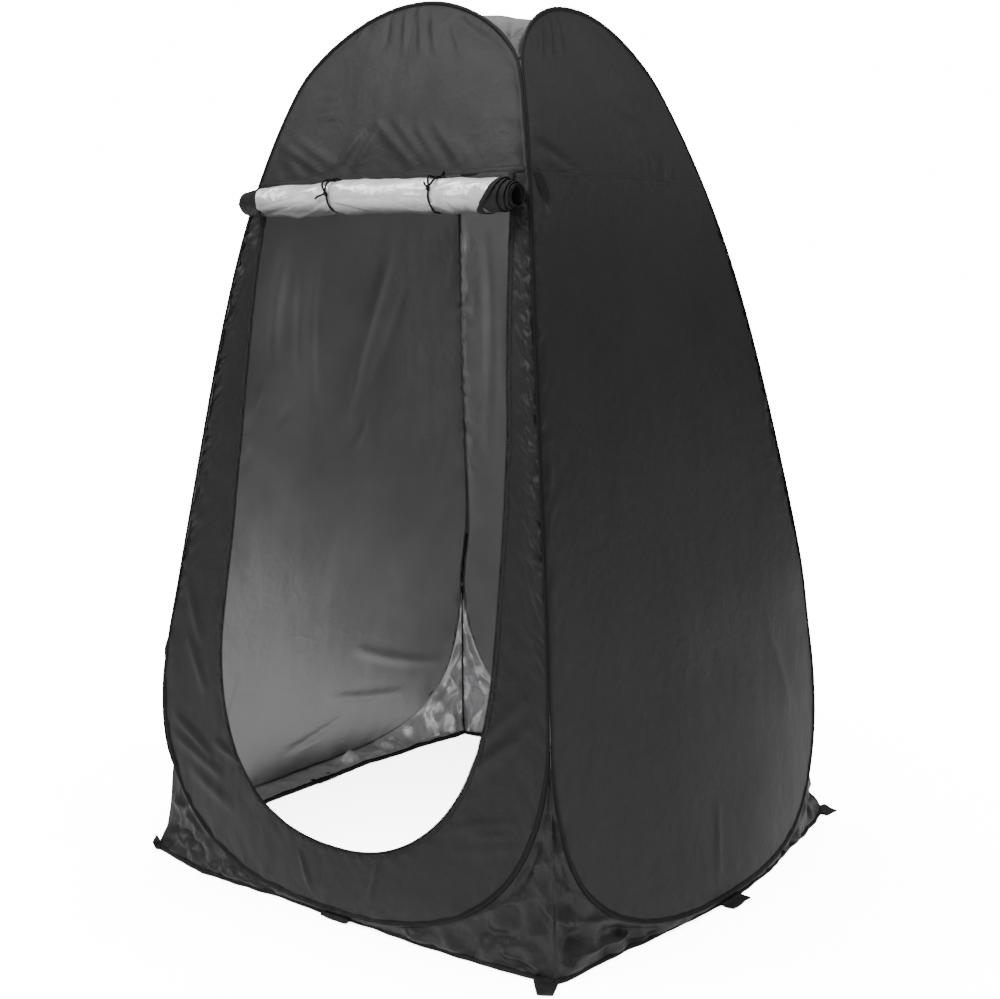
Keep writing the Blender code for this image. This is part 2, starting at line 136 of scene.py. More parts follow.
# The floor is a white sheet that glows, brightly where the camera sees it and dimly where it lights the tent; its
# glow is a painted shadow, dimmer by its occlusion where the tent shades it.
bpy.ops.mesh.primitive_plane_add(size=FLOOR_SIZE, location=(0.0, 0.0, -FLOOR_DROP))
floor = bpy.context.object
floor.name = "floor"
pale = bpy.data.materials.new("pale_floor")
pale.use_nodes = True
tree = pale.node_tree
shader = tree.nodes["Principled BSDF"].inputs
shader["Base Color"].default_value = (0.93, 0.93, 0.93, 1.0)
shader["Roughness"].default_value = 0.9
shader["Emission Color"].default_value = WHITE
shade = put(tree, "ShaderNodeAmbientOcclusion", {"Distance": SHADE_REACH}).outputs["AO"]
bright = sums(tree, "MULTIPLY", sums(tree, "POWER", shade, SHADE_SOFTNESS), WHITE_BEHIND)
tree.links.new(camera_glow(tree, FLOOR_GLOW, bright), shader["Emission Strength"])
floor.data.materials.append(pale)
floor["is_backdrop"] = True

# Sprung hoops: a flat spring-steel wire bent to a closed ring, in a sleeve of black cloth folded over it.
# The sleeve is sewn to its wall by a flange, and the two sleeves at a corner run side by side.
# Every cloth is woven polyester, with a UV map in metres, along it and across it, for its weave and stitches.


def effect(name, outputs, values):
    """An empty node group that takes a place and named values: its tree, its given values and its results."""
    tree = bpy.data.node_groups.new(name, "ShaderNodeTree")
    tree.interface.new_socket(name="Place", in_out="INPUT", socket_type="NodeSocketVector")
    for socket, value in values.items():
        tree.interface.new_socket(name=socket, in_out="INPUT", socket_type="NodeSocketFloat").default_value = value
    for socket in outputs:
        tree.interface.new_socket(name=socket, in_out="OUTPUT", socket_type="NodeSocketFloat")
    return tree, tree.nodes.new("NodeGroupInput").outputs, tree.nodes.new("NodeGroupOutput").inputs


def taffeta_weave():
    """Fine over-and-under threads, as a height between 0 and 1."""
    tree, given, result = effect("taffeta_weave", ("Height",), {"Pitch": 0.0006})
    parts = put(tree, "ShaderNodeSeparateXYZ", {"Vector": given["Place"]}).outputs
    waves = []
    for axis in ("X", "Y"):
        turns = sums(tree, "DIVIDE", parts[axis], given["Pitch"])
        waves.append(sums(tree, "SINE", sums(tree, "MULTIPLY", turns, math.tau)))
    crossed = sums(tree, "MULTIPLY", *waves)
    tree.links.new(sums(tree, "MULTIPLY_ADD", crossed, 0.5, 0.5), result["Height"])
    return tree


def hand_creases():
    """Fine soft creases that packing and handling leave in coated cloth, as a height between 0 and 1."""
    tree, given, result = effect("hand_creases", ("Height",), {"Scale": 14.0, "Warp": 0.6})
    total = 0.0
    for size, share in ((1.0, 0.55), (2.3, 0.30), (5.1, 0.15)):
        scale = sums(tree, "MULTIPLY", given["Scale"], size)
        inputs = {"Vector": given["Place"], "Scale": scale, "Detail": 1.0, "Distortion": given["Warp"]}
        noise = put(tree, "ShaderNodeTexNoise", inputs).outputs["Fac"]
        fold = sums(tree, "MULTIPLY", sums(tree, "ABSOLUTE", sums(tree, "SUBTRACT", noise, 0.5)), 2.0)
        crest = sums(tree, "POWER", sums(tree, "SUBTRACT", 1.0, fold), 3.0)
        total = sums(tree, "MULTIPLY_ADD", crest, share, total)
    tree.links.new(total, result["Height"])
    return tree


def stitch_rows():
    """Two rows of lock stitches along a piece: a mask of the threads and the dimple that they pull."""
    tree, given, result = effect("stitch_rows", ("Thread", "Dimple"),
                                 {"First row": 0.002, "Second row": 0.008, "Stitch": 0.0032, "Width": 0.0007})
    parts = put(tree, "ShaderNodeSeparateXYZ", {"Vector": given["Place"]}).outputs
    wave = sums(tree, "COSINE", sums(tree, "MULTIPLY", sums(tree, "DIVIDE", parts["X"], given["Stitch"]), math.tau))
    dash = ranged(tree, wave, -0.8, -0.3)
    threads, dimples = [], []
    for name in ("First row", "Second row"):
        off = sums(tree, "ABSOLUTE", sums(tree, "SUBTRACT", parts["Y"], given[name]))
        threads.append(ranged(tree, off, given["Width"], 0.0002))
        dimples.append(ranged(tree, off, 0.0020, 0.0))
    tree.links.new(sums(tree, "MULTIPLY", dash, sums(tree, "MAXIMUM", *threads)), result["Thread"])
    tree.links.new(sums(tree, "MAXIMUM", *dimples), result["Dimple"])
    return tree


def wear_marks():
    """Uneven tone over a cloth: broad patches, and a little dust that gathers near the ground."""
    tree, given, result = effect("wear_marks", ("Tone", "Dust"), {"Scale": 3.0})
    place = given["Place"]
    broad = put(tree, "ShaderNodeTexNoise",
                {"Vector": place, "Scale": given["Scale"], "Detail": 3.0, "Roughness": 0.6})
    specks = put(tree, "ShaderNodeTexNoise", {"Vector": place, "Scale": 55.0, "Detail": 4.0}).outputs["Fac"]
    low = ranged(tree, put(tree, "ShaderNodeSeparateXYZ", {"Vector": place}).outputs["Z"], 0.10, 0.0)
    tree.links.new(broad.outputs["Fac"], result["Tone"])
    tree.links.new(sums(tree, "MULTIPLY", low, sums(tree, "MULTIPLY", specks, specks)), result["Dust"])
    return tree


EFFECTS = {made.name: made for made in (taffeta_weave(), hand_creases(), stitch_rows(), wear_marks())}
DUST_COLOUR = (0.16, 0.155, 0.15, 1.0)
TONE_ENDS = (0.3, 0.7)
WEAVE_TONE, WEAVE_HEIGHT = 0.15, 0.00003
STITCH_SINK, THREAD_RISE = -0.0006, 0.0007


def cloth_finish(name, dark, light, rough, metal=0.0, gloss=0.5, weave=0.0006, crease=(14.0, 0.0006), rows=None,
                 thread=(0.003, 0.003, 0.003), dust=0.25, stitch=(0.0032, 0.0007), painted_underside_shade=None):
    """One cloth's material: weave, handling creases, worn tone, dust, stitches where it is sewn, and, where asked,
    painted shade that darkens its colour below a tilted height.
    """
    made = bpy.data.materials.new(name)
    made.use_nodes = True
    tree = made.node_tree
    shader = tree.nodes["Principled BSDF"].inputs
    flat = put(tree, "ShaderNodeUVMap", uv_map="cloth").outputs["UV"]
    solid = put(tree, "ShaderNodeTexCoord").outputs["Object"]

    def use(kind, inputs):
        return put(tree, "ShaderNodeGroup", inputs, node_tree=EFFECTS[kind]).outputs

    def mixed(share, first, second, way="MIX"):
        # Mix has one set of sockets for each kind of value, so its colour sockets are taken by number.
        inputs = {0: share, 6: first, 7: second}
        return put(tree, "ShaderNodeMix", inputs, data_type="RGBA", blend_type=way).outputs[2]

    marks = use("wear_marks", {"Place": solid, "Scale": 3.0})
    threads = use("taffeta_weave", {"Place": flat, "Pitch": weave})["Height"]
    folds = use("hand_creases", {"Place": solid, "Scale": crease[0], "Warp": 0.6})["Height"]
    tone = sums(tree, "MULTIPLY", ranged(tree, marks["Tone"], *TONE_ENDS), 1 - WEAVE_TONE)
    colour = mixed(sums(tree, "MULTIPLY_ADD", threads, WEAVE_TONE, tone), (*dark, 1.0), (*light, 1.0))
    colour = mixed(sums(tree, "MULTIPLY", marks["Dust"], dust), colour, DUST_COLOUR)
    # Painted shade: below a tilted height through the roll's middle the colour is darkened, standing in for the
    # shadow under the roll.
    if painted_underside_shade:
        middle, slope, painted_shade_share = painted_underside_shade
        parts = put(tree, "ShaderNodeSeparateXYZ", {"Vector": solid}).outputs
        level_height = sums(tree, "MULTIPLY_ADD", parts["X"], slope, parts["Z"])
        colour = mixed(1.0, colour, ranged(tree, level_height, middle - 0.032, middle + 0.002, painted_shade_share, 1.0), "MULTIPLY")
    height = sums(tree, "MULTIPLY_ADD", threads, WEAVE_HEIGHT, sums(tree, "MULTIPLY", folds, crease[1]))
    if rows:
        sewn = use("stitch_rows", {"Place": flat, "First row": rows[0], "Second row": rows[1],
                                   "Stitch": stitch[0], "Width": stitch[1]})
        colour = mixed(sewn["Thread"], colour, (*thread, 1.0))
        height = sums(tree, "MULTIPLY_ADD", sewn["Dimple"], STITCH_SINK, height)
        height = sums(tree, "MULTIPLY_ADD", sewn["Thread"], THREAD_RISE, height)
    tree.links.new(colour, shader["Base Color"])
    tree.links.new(ranged(tree, marks["Tone"], *TONE_ENDS, rough - 0.05, rough + 0.06), shader["Roughness"])
    bump = put(tree, "ShaderNodeBump", {"Height": height, "Strength": 1.0, "Distance": 1.0})
    tree.links.new(bump.outputs["Normal"], shader["Normal"])
    shader["Metallic"].default_value = metal
    shader["Specular IOR Level"].default_value = gloss
    return made


sleeve_cloth = cloth_finish("sleeve_black", (0.005, 0.005, 0.005), (0.009, 0.009, 0.0095), 0.60, gloss=0.2,
                            crease=(60.0, 0.0004), rows=(0.0085, 0.0115))
SIDES = ("front", "right", "back", "left")
STATION_HEIGHTS = (0.0, 0.49, 1.03, 1.57, 1.96)
STATION_HALVES = (0.568, 0.545, 0.468, 0.3535, 0.183)
FOOT_BOWS = dict(zip(SIDES, (0.042, 0.096) * 2))
FOOT_BOW_END = 0.88
CREST_BOW = 0.012
CREST_BOW_START = 1.37
HOOP_BOTTOM, HOOP_SPLIT_LOW, HOOP_SPLIT_HIGH, HOOP_TOP = 0.0158, 0.533, 1.735, 1.8985
HOOP_TOPS = dict(zip(SIDES, (1.9000, 1.8915) * 2))
LOW_ROUNDNESSES = dict(zip(SIDES, (2.64, 3.20) * 2))
HIGH_ROUNDNESSES = dict(zip(SIDES, (2.13, 2.16) * 2))
CORNER_INSET = 0.0113 / math.sqrt(2)
WALL_CURVE = np.polyfit(STATION_HEIGHTS, STATION_HALVES, len(STATION_HEIGHTS) - 1)
HOOP_STEP = 0.0075


def half_width(z):
    """How far a corner stands out from the tent's middle at height z, each way."""
    return np.polyval(WALL_CURVE, z)


def bow(z, side):
    """How far a wall's middle bulges out past its two corners at height z."""
    foot = np.maximum(1 - z / FOOT_BOW_END, 0.0) ** 2
    crest = np.maximum((z - CREST_BOW_START) / (HOOP_TOP - CREST_BOW_START), 0.0) ** 2
    return FOOT_BOWS[side] * foot + CREST_BOW * crest


def turned(points, side):
    """Points of the front wall, turned about the tent's middle to another wall."""
    points = np.asarray(points, float)
    x, y, z = points[..., 0], points[..., 1], points[..., 2]
    for _ in range(SIDES.index(side)):
        x, y = -y, x
    return np.stack([x, y, z], axis=-1)


def wall_points(u, z, side, lift=0.0):
    """Points on a wall, u across it and z up it, a lift outside its surface."""
    half = half_width(z)
    depth = half + bow(z, side) * (1 - (u / half) ** 2)
    return turned(np.stack([u, -depth - lift, z + 0.0 * u], axis=-1), side)


def within(value):
    """A value held between 0 and 1."""
    return np.clip(value, 0.0, 1.0)


def unit(ways):
    """Ways of length one."""
    return ways / np.linalg.norm(ways, axis=-1, keepdims=True)


def steps_along(line):
    """How far along a line each of its points lies."""
    return np.concatenate([[0.0], np.cumsum(np.linalg.norm(np.diff(line, axis=0), axis=1))])


def evenly(line, count):
    """A line's own course as evenly spaced points."""
    line = np.asarray(line, float)
    steps = steps_along(line)
    places = np.linspace(0.0, steps[-1], count)
    return np.stack([np.interp(places, steps, line[:, k]) for k in range(line.shape[1])], axis=-1)


def length_of(line):
    return float(steps_along(line)[-1])


def half_hoop(side):
    """The right half of a hoop's middle line, from its lowest point to its highest, as (u, z) points."""
    low, high = 2 / LOW_ROUNDNESSES[side], 2 / HIGH_ROUNDNESSES[side]
    turn = np.linspace(0.0, math.pi / 2, 400)
    across, up = np.maximum(np.cos(turn), 0.0), np.sin(turn)
    straight = np.linspace(HOOP_SPLIT_LOW, HOOP_SPLIT_HIGH, 200)[1:-1]
    share = np.concatenate([across[::-1] ** low, np.ones(len(straight)), across ** high])
    z = np.concatenate([HOOP_SPLIT_LOW - (HOOP_SPLIT_LOW - HOOP_BOTTOM) * up[::-1] ** low, straight,
                        HOOP_SPLIT_HIGH + (HOOP_TOPS[side] - HOOP_SPLIT_HIGH) * up ** high])
    line = np.stack([(half_width(z) - CORNER_INSET) * share, z], axis=-1)
    line[0, 0] = line[-1, 0] = 0.0
    return evenly(line, round(length_of(line) / HOOP_STEP))


def inset(line, distance):
    """A climbing line moved towards the wall's middle by a distance, or by one distance for each point."""
    run = np.gradient(line, axis=0)
    run[0], run[-1] = (1.0, 0.0), (-1.0, 0.0)
    run = unit(run)
    return line + np.stack([-run[:, 1], run[:, 0]], axis=-1) * np.reshape(distance, (-1, 1))


def mirrored(line):
    return line * (-1.0, 1.0)


def rolling(a, b, seed):
    """Smooth seeded hills and hollows, about one to a unit, between -1 and 1."""
    table = np.random.default_rng(seed).random((64, 64)) * math.tau
    i, j = np.floor(a).astype(int), np.floor(b).astype(int)
    x, y = a - i, b - j
    total = 0.0
    for di in (0, 1):
        for dj in (0, 1):
            turn = table[(i + di) % 64, (j + dj) % 64]
            reach = np.cos(turn) * (x - di) + np.sin(turn) * (y - dj)
            fade_x, fade_y = (t * t * t * (t * (t * 6 - 15) + 10) for t in (x, y))
            total = total + reach * (fade_x if di else 1 - fade_x) * (fade_y if dj else 1 - fade_y)
    return total * 1.5


# The sprung frame is soft and stands a little askew: by height, how far each corner is off its place along one way.
SET_WAY = np.array((0.7935, 0.6086, 0.0))
SET_HEIGHTS = (0.45, 0.60, 0.80, 1.00, 1.20, 1.40, 1.55, 1.72, 1.85)
CORNER_SETS = {
    "front_right": (0.0, 0.0010, 0.0020, 0.0020, 0.0020, 0.0053, 0.0090, 0.0075, 0.0000),
    "left_front": (0.0, 0.0045, 0.0040, 0.0034, 0.0010, -0.0072, -0.0113, -0.0147, -0.0200),
    "right_back": (0.0, 0.0080, 0.0047, -0.0012, -0.0038, -0.0140, -0.0188, -0.0210, -0.0165),
    "back_left": (0.0, 0.0140, 0.0100, -0.0035, -0.0080, -0.0160, -0.0215, -0.0240, -0.0200),
}
CORNER_CURVES = {corner: np.polyfit(SET_HEIGHTS, row, 5) for corner, row in CORNER_SETS.items()}


def leaned(points):
    """Points moved with the four corners' own set, which is shared out across the tent between them."""
    z = np.clip(points[..., 2], SET_HEIGHTS[0], 1.88)
    half = np.maximum(half_width(points[..., 2]), 0.15)
    a, b = (within(points[..., k] / half * 0.5 + 0.5) for k in (0, 1))
    near, left, far, back = (np.polyval(curve, z) for curve in CORNER_CURVES.values())
    shift = (1 - b) * (a * near + (1 - a) * left) + b * (a * far + (1 - a) * back)
    rise = within((points[..., 2] - 0.40) / 0.25)
    return points + SET_WAY * (shift * rise * rise * (3 - 2 * rise))[..., None]


def mesh_piece(name, points, faces, places, materials, kinds=None):
    """A smooth mesh piece from its points, faces, UV places in metres and each face's material."""
    points = leaned(points)
    data = bpy.data.meshes.new(name)
    data.from_pydata(points.tolist(), [], faces.tolist() if hasattr(faces, "tolist") else faces)
    layer = data.uv_layers.new(name="cloth")
    corners = np.zeros(len(data.loops), int)
    data.loops.foreach_get("vertex_index", corners)
    layer.data.foreach_set("uv", places[corners].ravel())
    for material in materials:
        data.materials.append(material)
    if kinds is not None:
        data.polygons.foreach_set("material_index", np.asarray(kinds, np.int32))
    data.polygons.foreach_set("use_smooth", np.ones(len(data.polygons), bool))
    piece = bpy.data.objects.new(name, data)
    bpy.context.scene.collection.objects.link(piece)
    return piece


def grid_faces(rows, columns, round_rows=False, round_columns=False):
    """Four-cornered faces over a grid of points, joined end to end where it is round."""
    i = np.arange(rows if round_rows else rows - 1)[:, None]
    j = np.arange(columns if round_columns else columns - 1)[None, :]
    below, beside = (i + 1) % rows, (j + 1) % columns
    return np.stack([i * columns + j, i * columns + beside, below * columns + beside, below * columns + j],
                    axis=-1).reshape(-1, 4)


def capped_tube(rows, columns):
    """Faces over a grid of points that is round across and closed at both ends."""
    last = (rows - 1) * columns
    return grid_faces(rows, columns, False, True).tolist() + [list(range(columns)), list(range(last, last + columns))]


def spread(along, across):
    """UV places from distances along a piece and across it."""
    return np.stack(np.broadcast_arrays(np.asarray(along)[:, None], np.asarray(across)), axis=-1).reshape(-1, 2)


def fit(piece, slot, *nodes):
    """Fix a piece to the tent's one body, in place of its plain solids. Its slot is not used."""
    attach(piece, "root")
    if nodes:
        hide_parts(*nodes)
    return piece


def turn_out(piece):
    """Turn a closed mesh's faces outwards."""
    shape = bmesh.new()
    shape.from_mesh(piece.data)
    bmesh.ops.recalc_face_normals(shape, faces=shape.faces)
    if shape.calc_volume(signed=True) < 0:
        bmesh.ops.reverse_faces(shape, faces=shape.faces)
    shape.to_mesh(piece.data)
    shape.free()


# By height: a sleeve's half thickness, and how much nearer its corner than the wire's middle it lies.
SLEEVE_HEIGHTS = (0.02, 0.28, 0.42, 0.52, 0.62, 1.00, 1.55, 1.72, 1.80)
SLEEVE_HALVES = (0.0036, 0.0044, 0.0031, 0.0026, 0.0023, 0.0024, 0.0028, 0.0032, 0.0045)
SLEEVE_SHIFTS = (0.0, 0.0, 0.0064, 0.0062, 0.0060, 0.0059, 0.0055, 0.0046, 0.0)
SLEEVE_FULL = 0.0047
# The sleeve's section: (towards the wall's middle, out from the wall), in metres, with its flange at full width.
SLEEVE_SECTION = np.array([(-0.0049, 0.0), (-0.0039, 0.0030), (-0.0014, 0.0047), (0.0014, 0.0046), (0.0037, 0.0030),
                           (0.0052, 0.0018), (0.0085, 0.0015), (0.0118, 0.0013), (0.0126, 0.0009), (0.0118, 0.0005),
                           (0.0048, 0.0004), (0.0047, -0.0005), (0.0032, -0.0011), (0.0008, -0.0014),
                           (-0.0020, -0.0013), (-0.0041, -0.0008)])
FLANGE_POINTS = slice(5, 10)
FLANGE_ROOT = 0.0049
# The flange is narrow up the corners and wider round the foot: its least share, what the foot adds, and where.
FLANGE_LEAST, FLANGE_MORE, FLANGE_FOOT, FLANGE_EASE = 0.20, 0.30, 0.50, 0.12
GATHER_PITCH, GATHER_SHARE = 0.011, 0.12
WOBBLE_PITCH, WOBBLE = 0.017, 0.0005
FIRST_STITCHES = 0.0095


def sleeve_half(z):
    return np.interp(z, SLEEVE_HEIGHTS, SLEEVE_HALVES)


def sleeve_line(side):
    """The right half of a sleeve's middle line: at a corner it lies against its neighbour."""
    line = half_hoop(side)
    return inset(line, -np.interp(line[:, 1], SLEEVE_HEIGHTS, SLEEVE_SHIFTS))


for side in SIDES:
    half = sleeve_line(side)
    loop = np.concatenate([half, mirrored(half)[::-1][1:-1]])
    count = len(loop)
    centre = wall_points(loop[:, 0], loop[:, 1], side)
    along = unit(np.roll(centre, -1, axis=0) - np.roll(centre, 1, axis=0))
    out = turned(np.tile((0.0, -1.0, 0.0), (count, 1)), side)
    inwards = unit(np.cross(out, along))
    outwards = np.cross(along, inwards)
    if (inwards * (np.array((0.0, 0.0, 1.0)) - centre)).sum() < 0:
        inwards = -inwards
    run = steps_along(centre)
    size = sleeve_half(loop[:, 1]) / SLEEVE_FULL
    flange = FLANGE_LEAST + FLANGE_MORE * within((FLANGE_FOOT - loop[:, 1]) / FLANGE_EASE)
    gather = rolling(run / GATHER_PITCH, run * 0.0, 11 + SIDES.index(side))
    section = SLEEVE_SECTION * size[:, None, None]
    hold = SLEEVE_SECTION[FLANGE_POINTS, 0] - FLANGE_ROOT
    section[:, FLANGE_POINTS, 0] = FLANGE_ROOT * size[:, None] + hold * flange[:, None]
    section[..., 1] *= 1 + GATHER_SHARE * gather[:, None]
    section[..., 0] += WOBBLE * rolling(run / WOBBLE_PITCH, run * 0.0, 31)[:, None]
    points = centre[:, None] + inwards[:, None] * section[..., :1] + outwards[:, None] * section[..., 1:]
    places = spread(run, steps_along(SLEEVE_SECTION) - FIRST_STITCHES)
    faces = grid_faces(count, len(SLEEVE_SECTION), True, True)
    sleeve = mesh_piece(side + "_hoop_sleeve", points.reshape(-1, 3), faces, places, (sleeve_cloth,))
    turn_out(sleeve)
    fit(sleeve, "sleeve_black", side + "_hoop")

# Plain walls: the right, back and left walls, each an upper and a lower cloth joined by one felled seam.
# The cloth is black taffeta with a silver coat inside, drawn tight by its hoop and puckered along it.
outer_cloth = cloth_finish("black_taffeta_outside", (0.010, 0.010, 0.0105), (0.015, 0.015, 0.0155), 0.50, gloss=0.3)
# Painted shade: the inside's silver coat is painted darker than the same coating on the gussets and the rolled door.
shaded_silver_coat = cloth_finish("silver_coat_inside_shaded", (0.28, 0.28, 0.285), (0.36, 0.36, 0.365), 0.40, metal=0.85,
                           crease=(11.0, 0.0006), dust=0.15)
seam_cloth = cloth_finish("felled_seam_black", (0.009, 0.009, 0.0095), (0.014, 0.014, 0.0145), 0.52, gloss=0.3,
                          crease=(40.0, 0.0005), rows=(0.002, 0.014))
SEAM_HEIGHT = 1.534
CLOTH = 0.0010
WALL_CELLS = {"right": (106, 180), "back": (84, 144), "left": (100, 170)}
SEAM_WIDTH = 0.016
BATCH = 4000


def crease(u, z, start, end, width, height, curl=0.0, sharp=False):
    """A fold along a line from start to end that runs out at both ends."""
    (u0, z0), (u1, z1) = start, end
    span = math.hypot(u1 - u0, z1 - z0)
    share = ((u - u0) * (u1 - u0) + (z - z0) * (z1 - z0)) / span ** 2
    off = ((z - z0) * (u1 - u0) - (u - u0) * (z1 - z0)) / span - curl * 4 * share * (1 - share)
    body = within(4 * share * (1 - share)) ** 0.7
    if sharp:
        return height * body * np.exp(-np.abs(off) / width)
    return height * body * np.exp(-(off / width) ** 2)


def beside(line, u, z):
    """How far points stand from a line, and how far along it they stand."""
    steps = steps_along(line)
    run = unit(np.gradient(line, axis=0))
    points = np.stack([np.ravel(u), np.ravel(z)], axis=-1)
    gaps, places = np.empty(len(points)), np.empty(len(points))
    for first in range(0, len(points), BATCH):
        part = points[first:first + BATCH]
        offset = part[:, None] - line[None]
        distance = np.linalg.norm(offset, axis=2)
        nearest = distance.argmin(axis=1)
        chosen = np.arange(len(part))
        slide = (offset[chosen, nearest] * run[nearest]).sum(axis=1)
        gaps[first:first + BATCH] = np.sqrt(np.maximum(distance[chosen, nearest] ** 2 - slide ** 2, 0.0))
        places[first:first + BATCH] = steps[nearest] + slide
    return gaps.reshape(np.shape(u)), places.reshape(np.shape(u))


def puckers(place, gap, spacing, reach, height, slant, seed):
    """Short ripples that a tight seam draws in the cloth beside it."""
    ripple = rolling((place + slant * gap) / spacing, gap / reach, seed)
    return height * ripple * np.exp(-gap / reach) * within(gap / 0.004)


# Each wall's own folds: start, end, width, height, and for some their curl and whether the crest is sharp.
WALL_FOLDS = {
    "right": [
        ((-0.138, 1.868), (-0.212, 1.765), 0.008, 0.0046),
        ((-0.110, 1.872), (-0.168, 1.770), 0.008, 0.0042),
        ((-0.074, 1.882), (-0.117, 1.785), 0.008, 0.0034),
        ((0.062, 1.741), (0.218, 1.696), 0.012, 0.0024, 0.006),
        ((-0.024, 1.707), (0.152, 1.657), 0.014, 0.0024, 0.006),
        ((0.110, 1.590), (0.112, 1.542), 0.006, 0.0022),
        ((0.145, 1.586), (0.150, 1.542), 0.006, 0.0022),
        ((0.180, 1.582), (0.186, 1.542), 0.006, -0.0020),
        ((0.215, 1.578), (0.222, 1.542), 0.006, 0.0022),
        ((-0.330, 1.590), (-0.180, 1.530), 0.008, -0.0046, 0.004),
        ((-0.322, 1.566), (-0.190, 1.520), 0.007, 0.0034, 0.003),
        ((-0.351, 1.536), (-0.326, 1.456), 0.009, -0.0160, 0.006),
        ((-0.338, 1.530), (-0.312, 1.464), 0.004, 0.0040, 0.008, True),
        ((-0.035, 0.225), (-0.088, 0.040), 0.007, 0.0028),
        ((0.30, 0.55), (0.38, 0.30), 0.016, 0.0020, 0.01),
    ],
    "back": [
        ((-0.35, 1.30), (-0.05, 1.02), 0.013, 0.0034, 0.01),
        ((0.30, 1.45), (0.42, 0.85), 0.012, 0.0030, -0.01),
        ((0.24, 1.40), (0.31, 0.95), 0.018, -0.0030),
        ((-0.20, 0.60), (-0.32, 0.08), 0.014, 0.0034),
        ((0.08, 1.86), (0.14, 1.56), 0.014, 0.0036),
        ((-0.10, 1.87), (-0.17, 1.58), 0.013, 0.0032),
    ],
    "left": [
        ((0.400, 1.330), (0.455, 1.080), 0.010, 0.0090, 0.010),
        ((0.425, 1.180), (0.470, 1.040), 0.005, 0.0060, 0.0, True),
        ((0.250, 1.420), (0.265, 1.120), 0.020, 0.0070, 0.010),
        ((0.151, 1.400), (0.115, 1.000), 0.016, 0.0063, 0.008),
        ((0.195, 1.380), (0.175, 1.080), 0.012, -0.0046, 0.006),
        ((-0.120, 1.400), (0.010, 0.940), 0.018, -0.0071, 0.010),
        ((-0.200, 1.330), (-0.060, 1.020), 0.020, 0.0026, -0.010),
        ((-0.078, 0.975), (-0.034, 0.888), 0.005, -0.0076, 0.0, True),
        ((-0.055, 0.960), (-0.020, 0.905), 0.004, 0.0050, 0.0, True),
        ((0.292, 1.085), (0.350, 0.985), 0.005, -0.0071, 0.0, True),
        ((0.243, 0.980), (0.196, 1.020), 0.004, 0.0055, 0.0, True),
        ((0.320, 0.940), (0.380, 0.840), 0.006, 0.0055),
        ((-0.140, 0.330), (-0.500, 0.220), 0.01, -0.0084, 0.012),
        ((-0.060, 0.205), (-0.360, 0.160), 0.007, -0.0076, 0.008),
        ((0.080, 0.085), (-0.140, 0.135), 0.008, 0.0071, 0.006),
        ((0.300, 0.360), (0.400, 0.090), 0.01, -0.0063),
    ],
}
SLACK = {"front": 1.0, "right": 0.45, "back": 1.0, "left": 0.8}
CORNER_GATHERS = {"front": 1.0, "right": 0.4, "back": 0.9, "left": 0.5}
# By its hoop the cloth is tucked under the sleeve, which covers its edge, and is taut for some way beyond.
TUCK, TUCK_REACH, SLEEVE_COVER, TAUT_REACH = 0.0012, 0.0045, 0.0030, 0.04
# The slack cloth's broad waves: height, and how many there are to a metre across and up.
WALL_WAVES = ((0.0045, 2.6, 1.9), (0.0016, 8.0, 3.4), (0.0007, 24.0, 9.0))
# Ripples: spacing, reach, height and slant. The hoop and the seam draw them all along, and the gathered sleeves
# draw stronger ones beside the corners, between two heights.
HOOP_RIPPLES = ((0.020, 0.020, 0.0016, -0.9), (0.055, 0.060, 0.0022, -0.6))
SEAM_RIPPLES = (0.026, 0.022, 0.0014, 0.5)
CORNER_RIPPLES = ((0.015, 0.016, 0.0165, -1.2), (0.034, 0.028, 0.0080, -1.0))
CORNER_START, CORNER_END = (0.55, 0.30), (1.50, 0.08)
CORNER_SINK, CORNER_SINK_REACH = 0.0040, 0.010
FOLD_EASE = 0.012
RIDGE_HEIGHT, RIDGE_REACH, RIDGE_LOW, RIDGE_HIGH, RIDGE_EASE = 0.0050, 0.012, 1.46, 1.80, 0.06
hoop_edges = {side: inset(sleeve_line(side), 0.0002) for side in SIDES}
whole_edges = {side: np.concatenate([mirrored(line)[::-1], line[1:]]) for side, line in hoop_edges.items()}


def wall_relief(side, u, z, folds):
    """How far a wall's cloth stands out from its plain surface."""
    gap, place = beside(whole_edges[side], u, z)
    tucked = -TUCK * np.exp(-(gap / TUCK_REACH) ** 2)
    gap = np.maximum(gap - SLEEVE_COVER, 0.0)
    seed = 100 * (1 + SIDES.index(side))
    slack = SLACK[side]
    held = 1 - np.exp(-gap / TAUT_REACH)
    relief = held * slack * sum(height * rolling(u * across, z * up, seed + number)
                                for number, (height, across, up) in enumerate(WALL_WAVES))
    climb = place * np.where(u > 0, 1.0, -1.0)
    relief += (0.4 + 0.6 * slack) * puckers(climb, gap, *HOOP_RIPPLES[0], seed + 3)
    relief += slack * puckers(climb, gap, *HOOP_RIPPLES[1], seed + 4)
    band = within((z - CORNER_START[0]) / CORNER_START[1]) * within((CORNER_END[0] - z) / CORNER_END[1])
    band = CORNER_GATHERS[side] * band
    for number, (spacing, reach, height, slant) in enumerate(CORNER_RIPPLES):
        relief += band * puckers(climb, gap, spacing, reach, height, slant, seed + 6 + number)
    relief -= band * CORNER_SINK * np.exp(-(gap / CORNER_SINK_REACH) ** 2)
    seam_gap = np.abs(z - SEAM_HEIGHT)
    relief += held * puckers(u, seam_gap, *SEAM_RIPPLES, seed + 5)
    free = 1 - np.exp(-gap / FOLD_EASE)
    for fold in folds:
        relief += free * crease(u, z, *fold)
    if side == "front":
        # Above the seam a ridge stands up along the right-hand sleeve.
        ridge = within((z - RIDGE_LOW) / RIDGE_EASE) * within((RIDGE_HIGH - z) / RIDGE_EASE) * (u > 0)
        relief += RIDGE_HEIGHT * np.exp(-gap / RIDGE_REACH) * ridge
    return relief + tucked


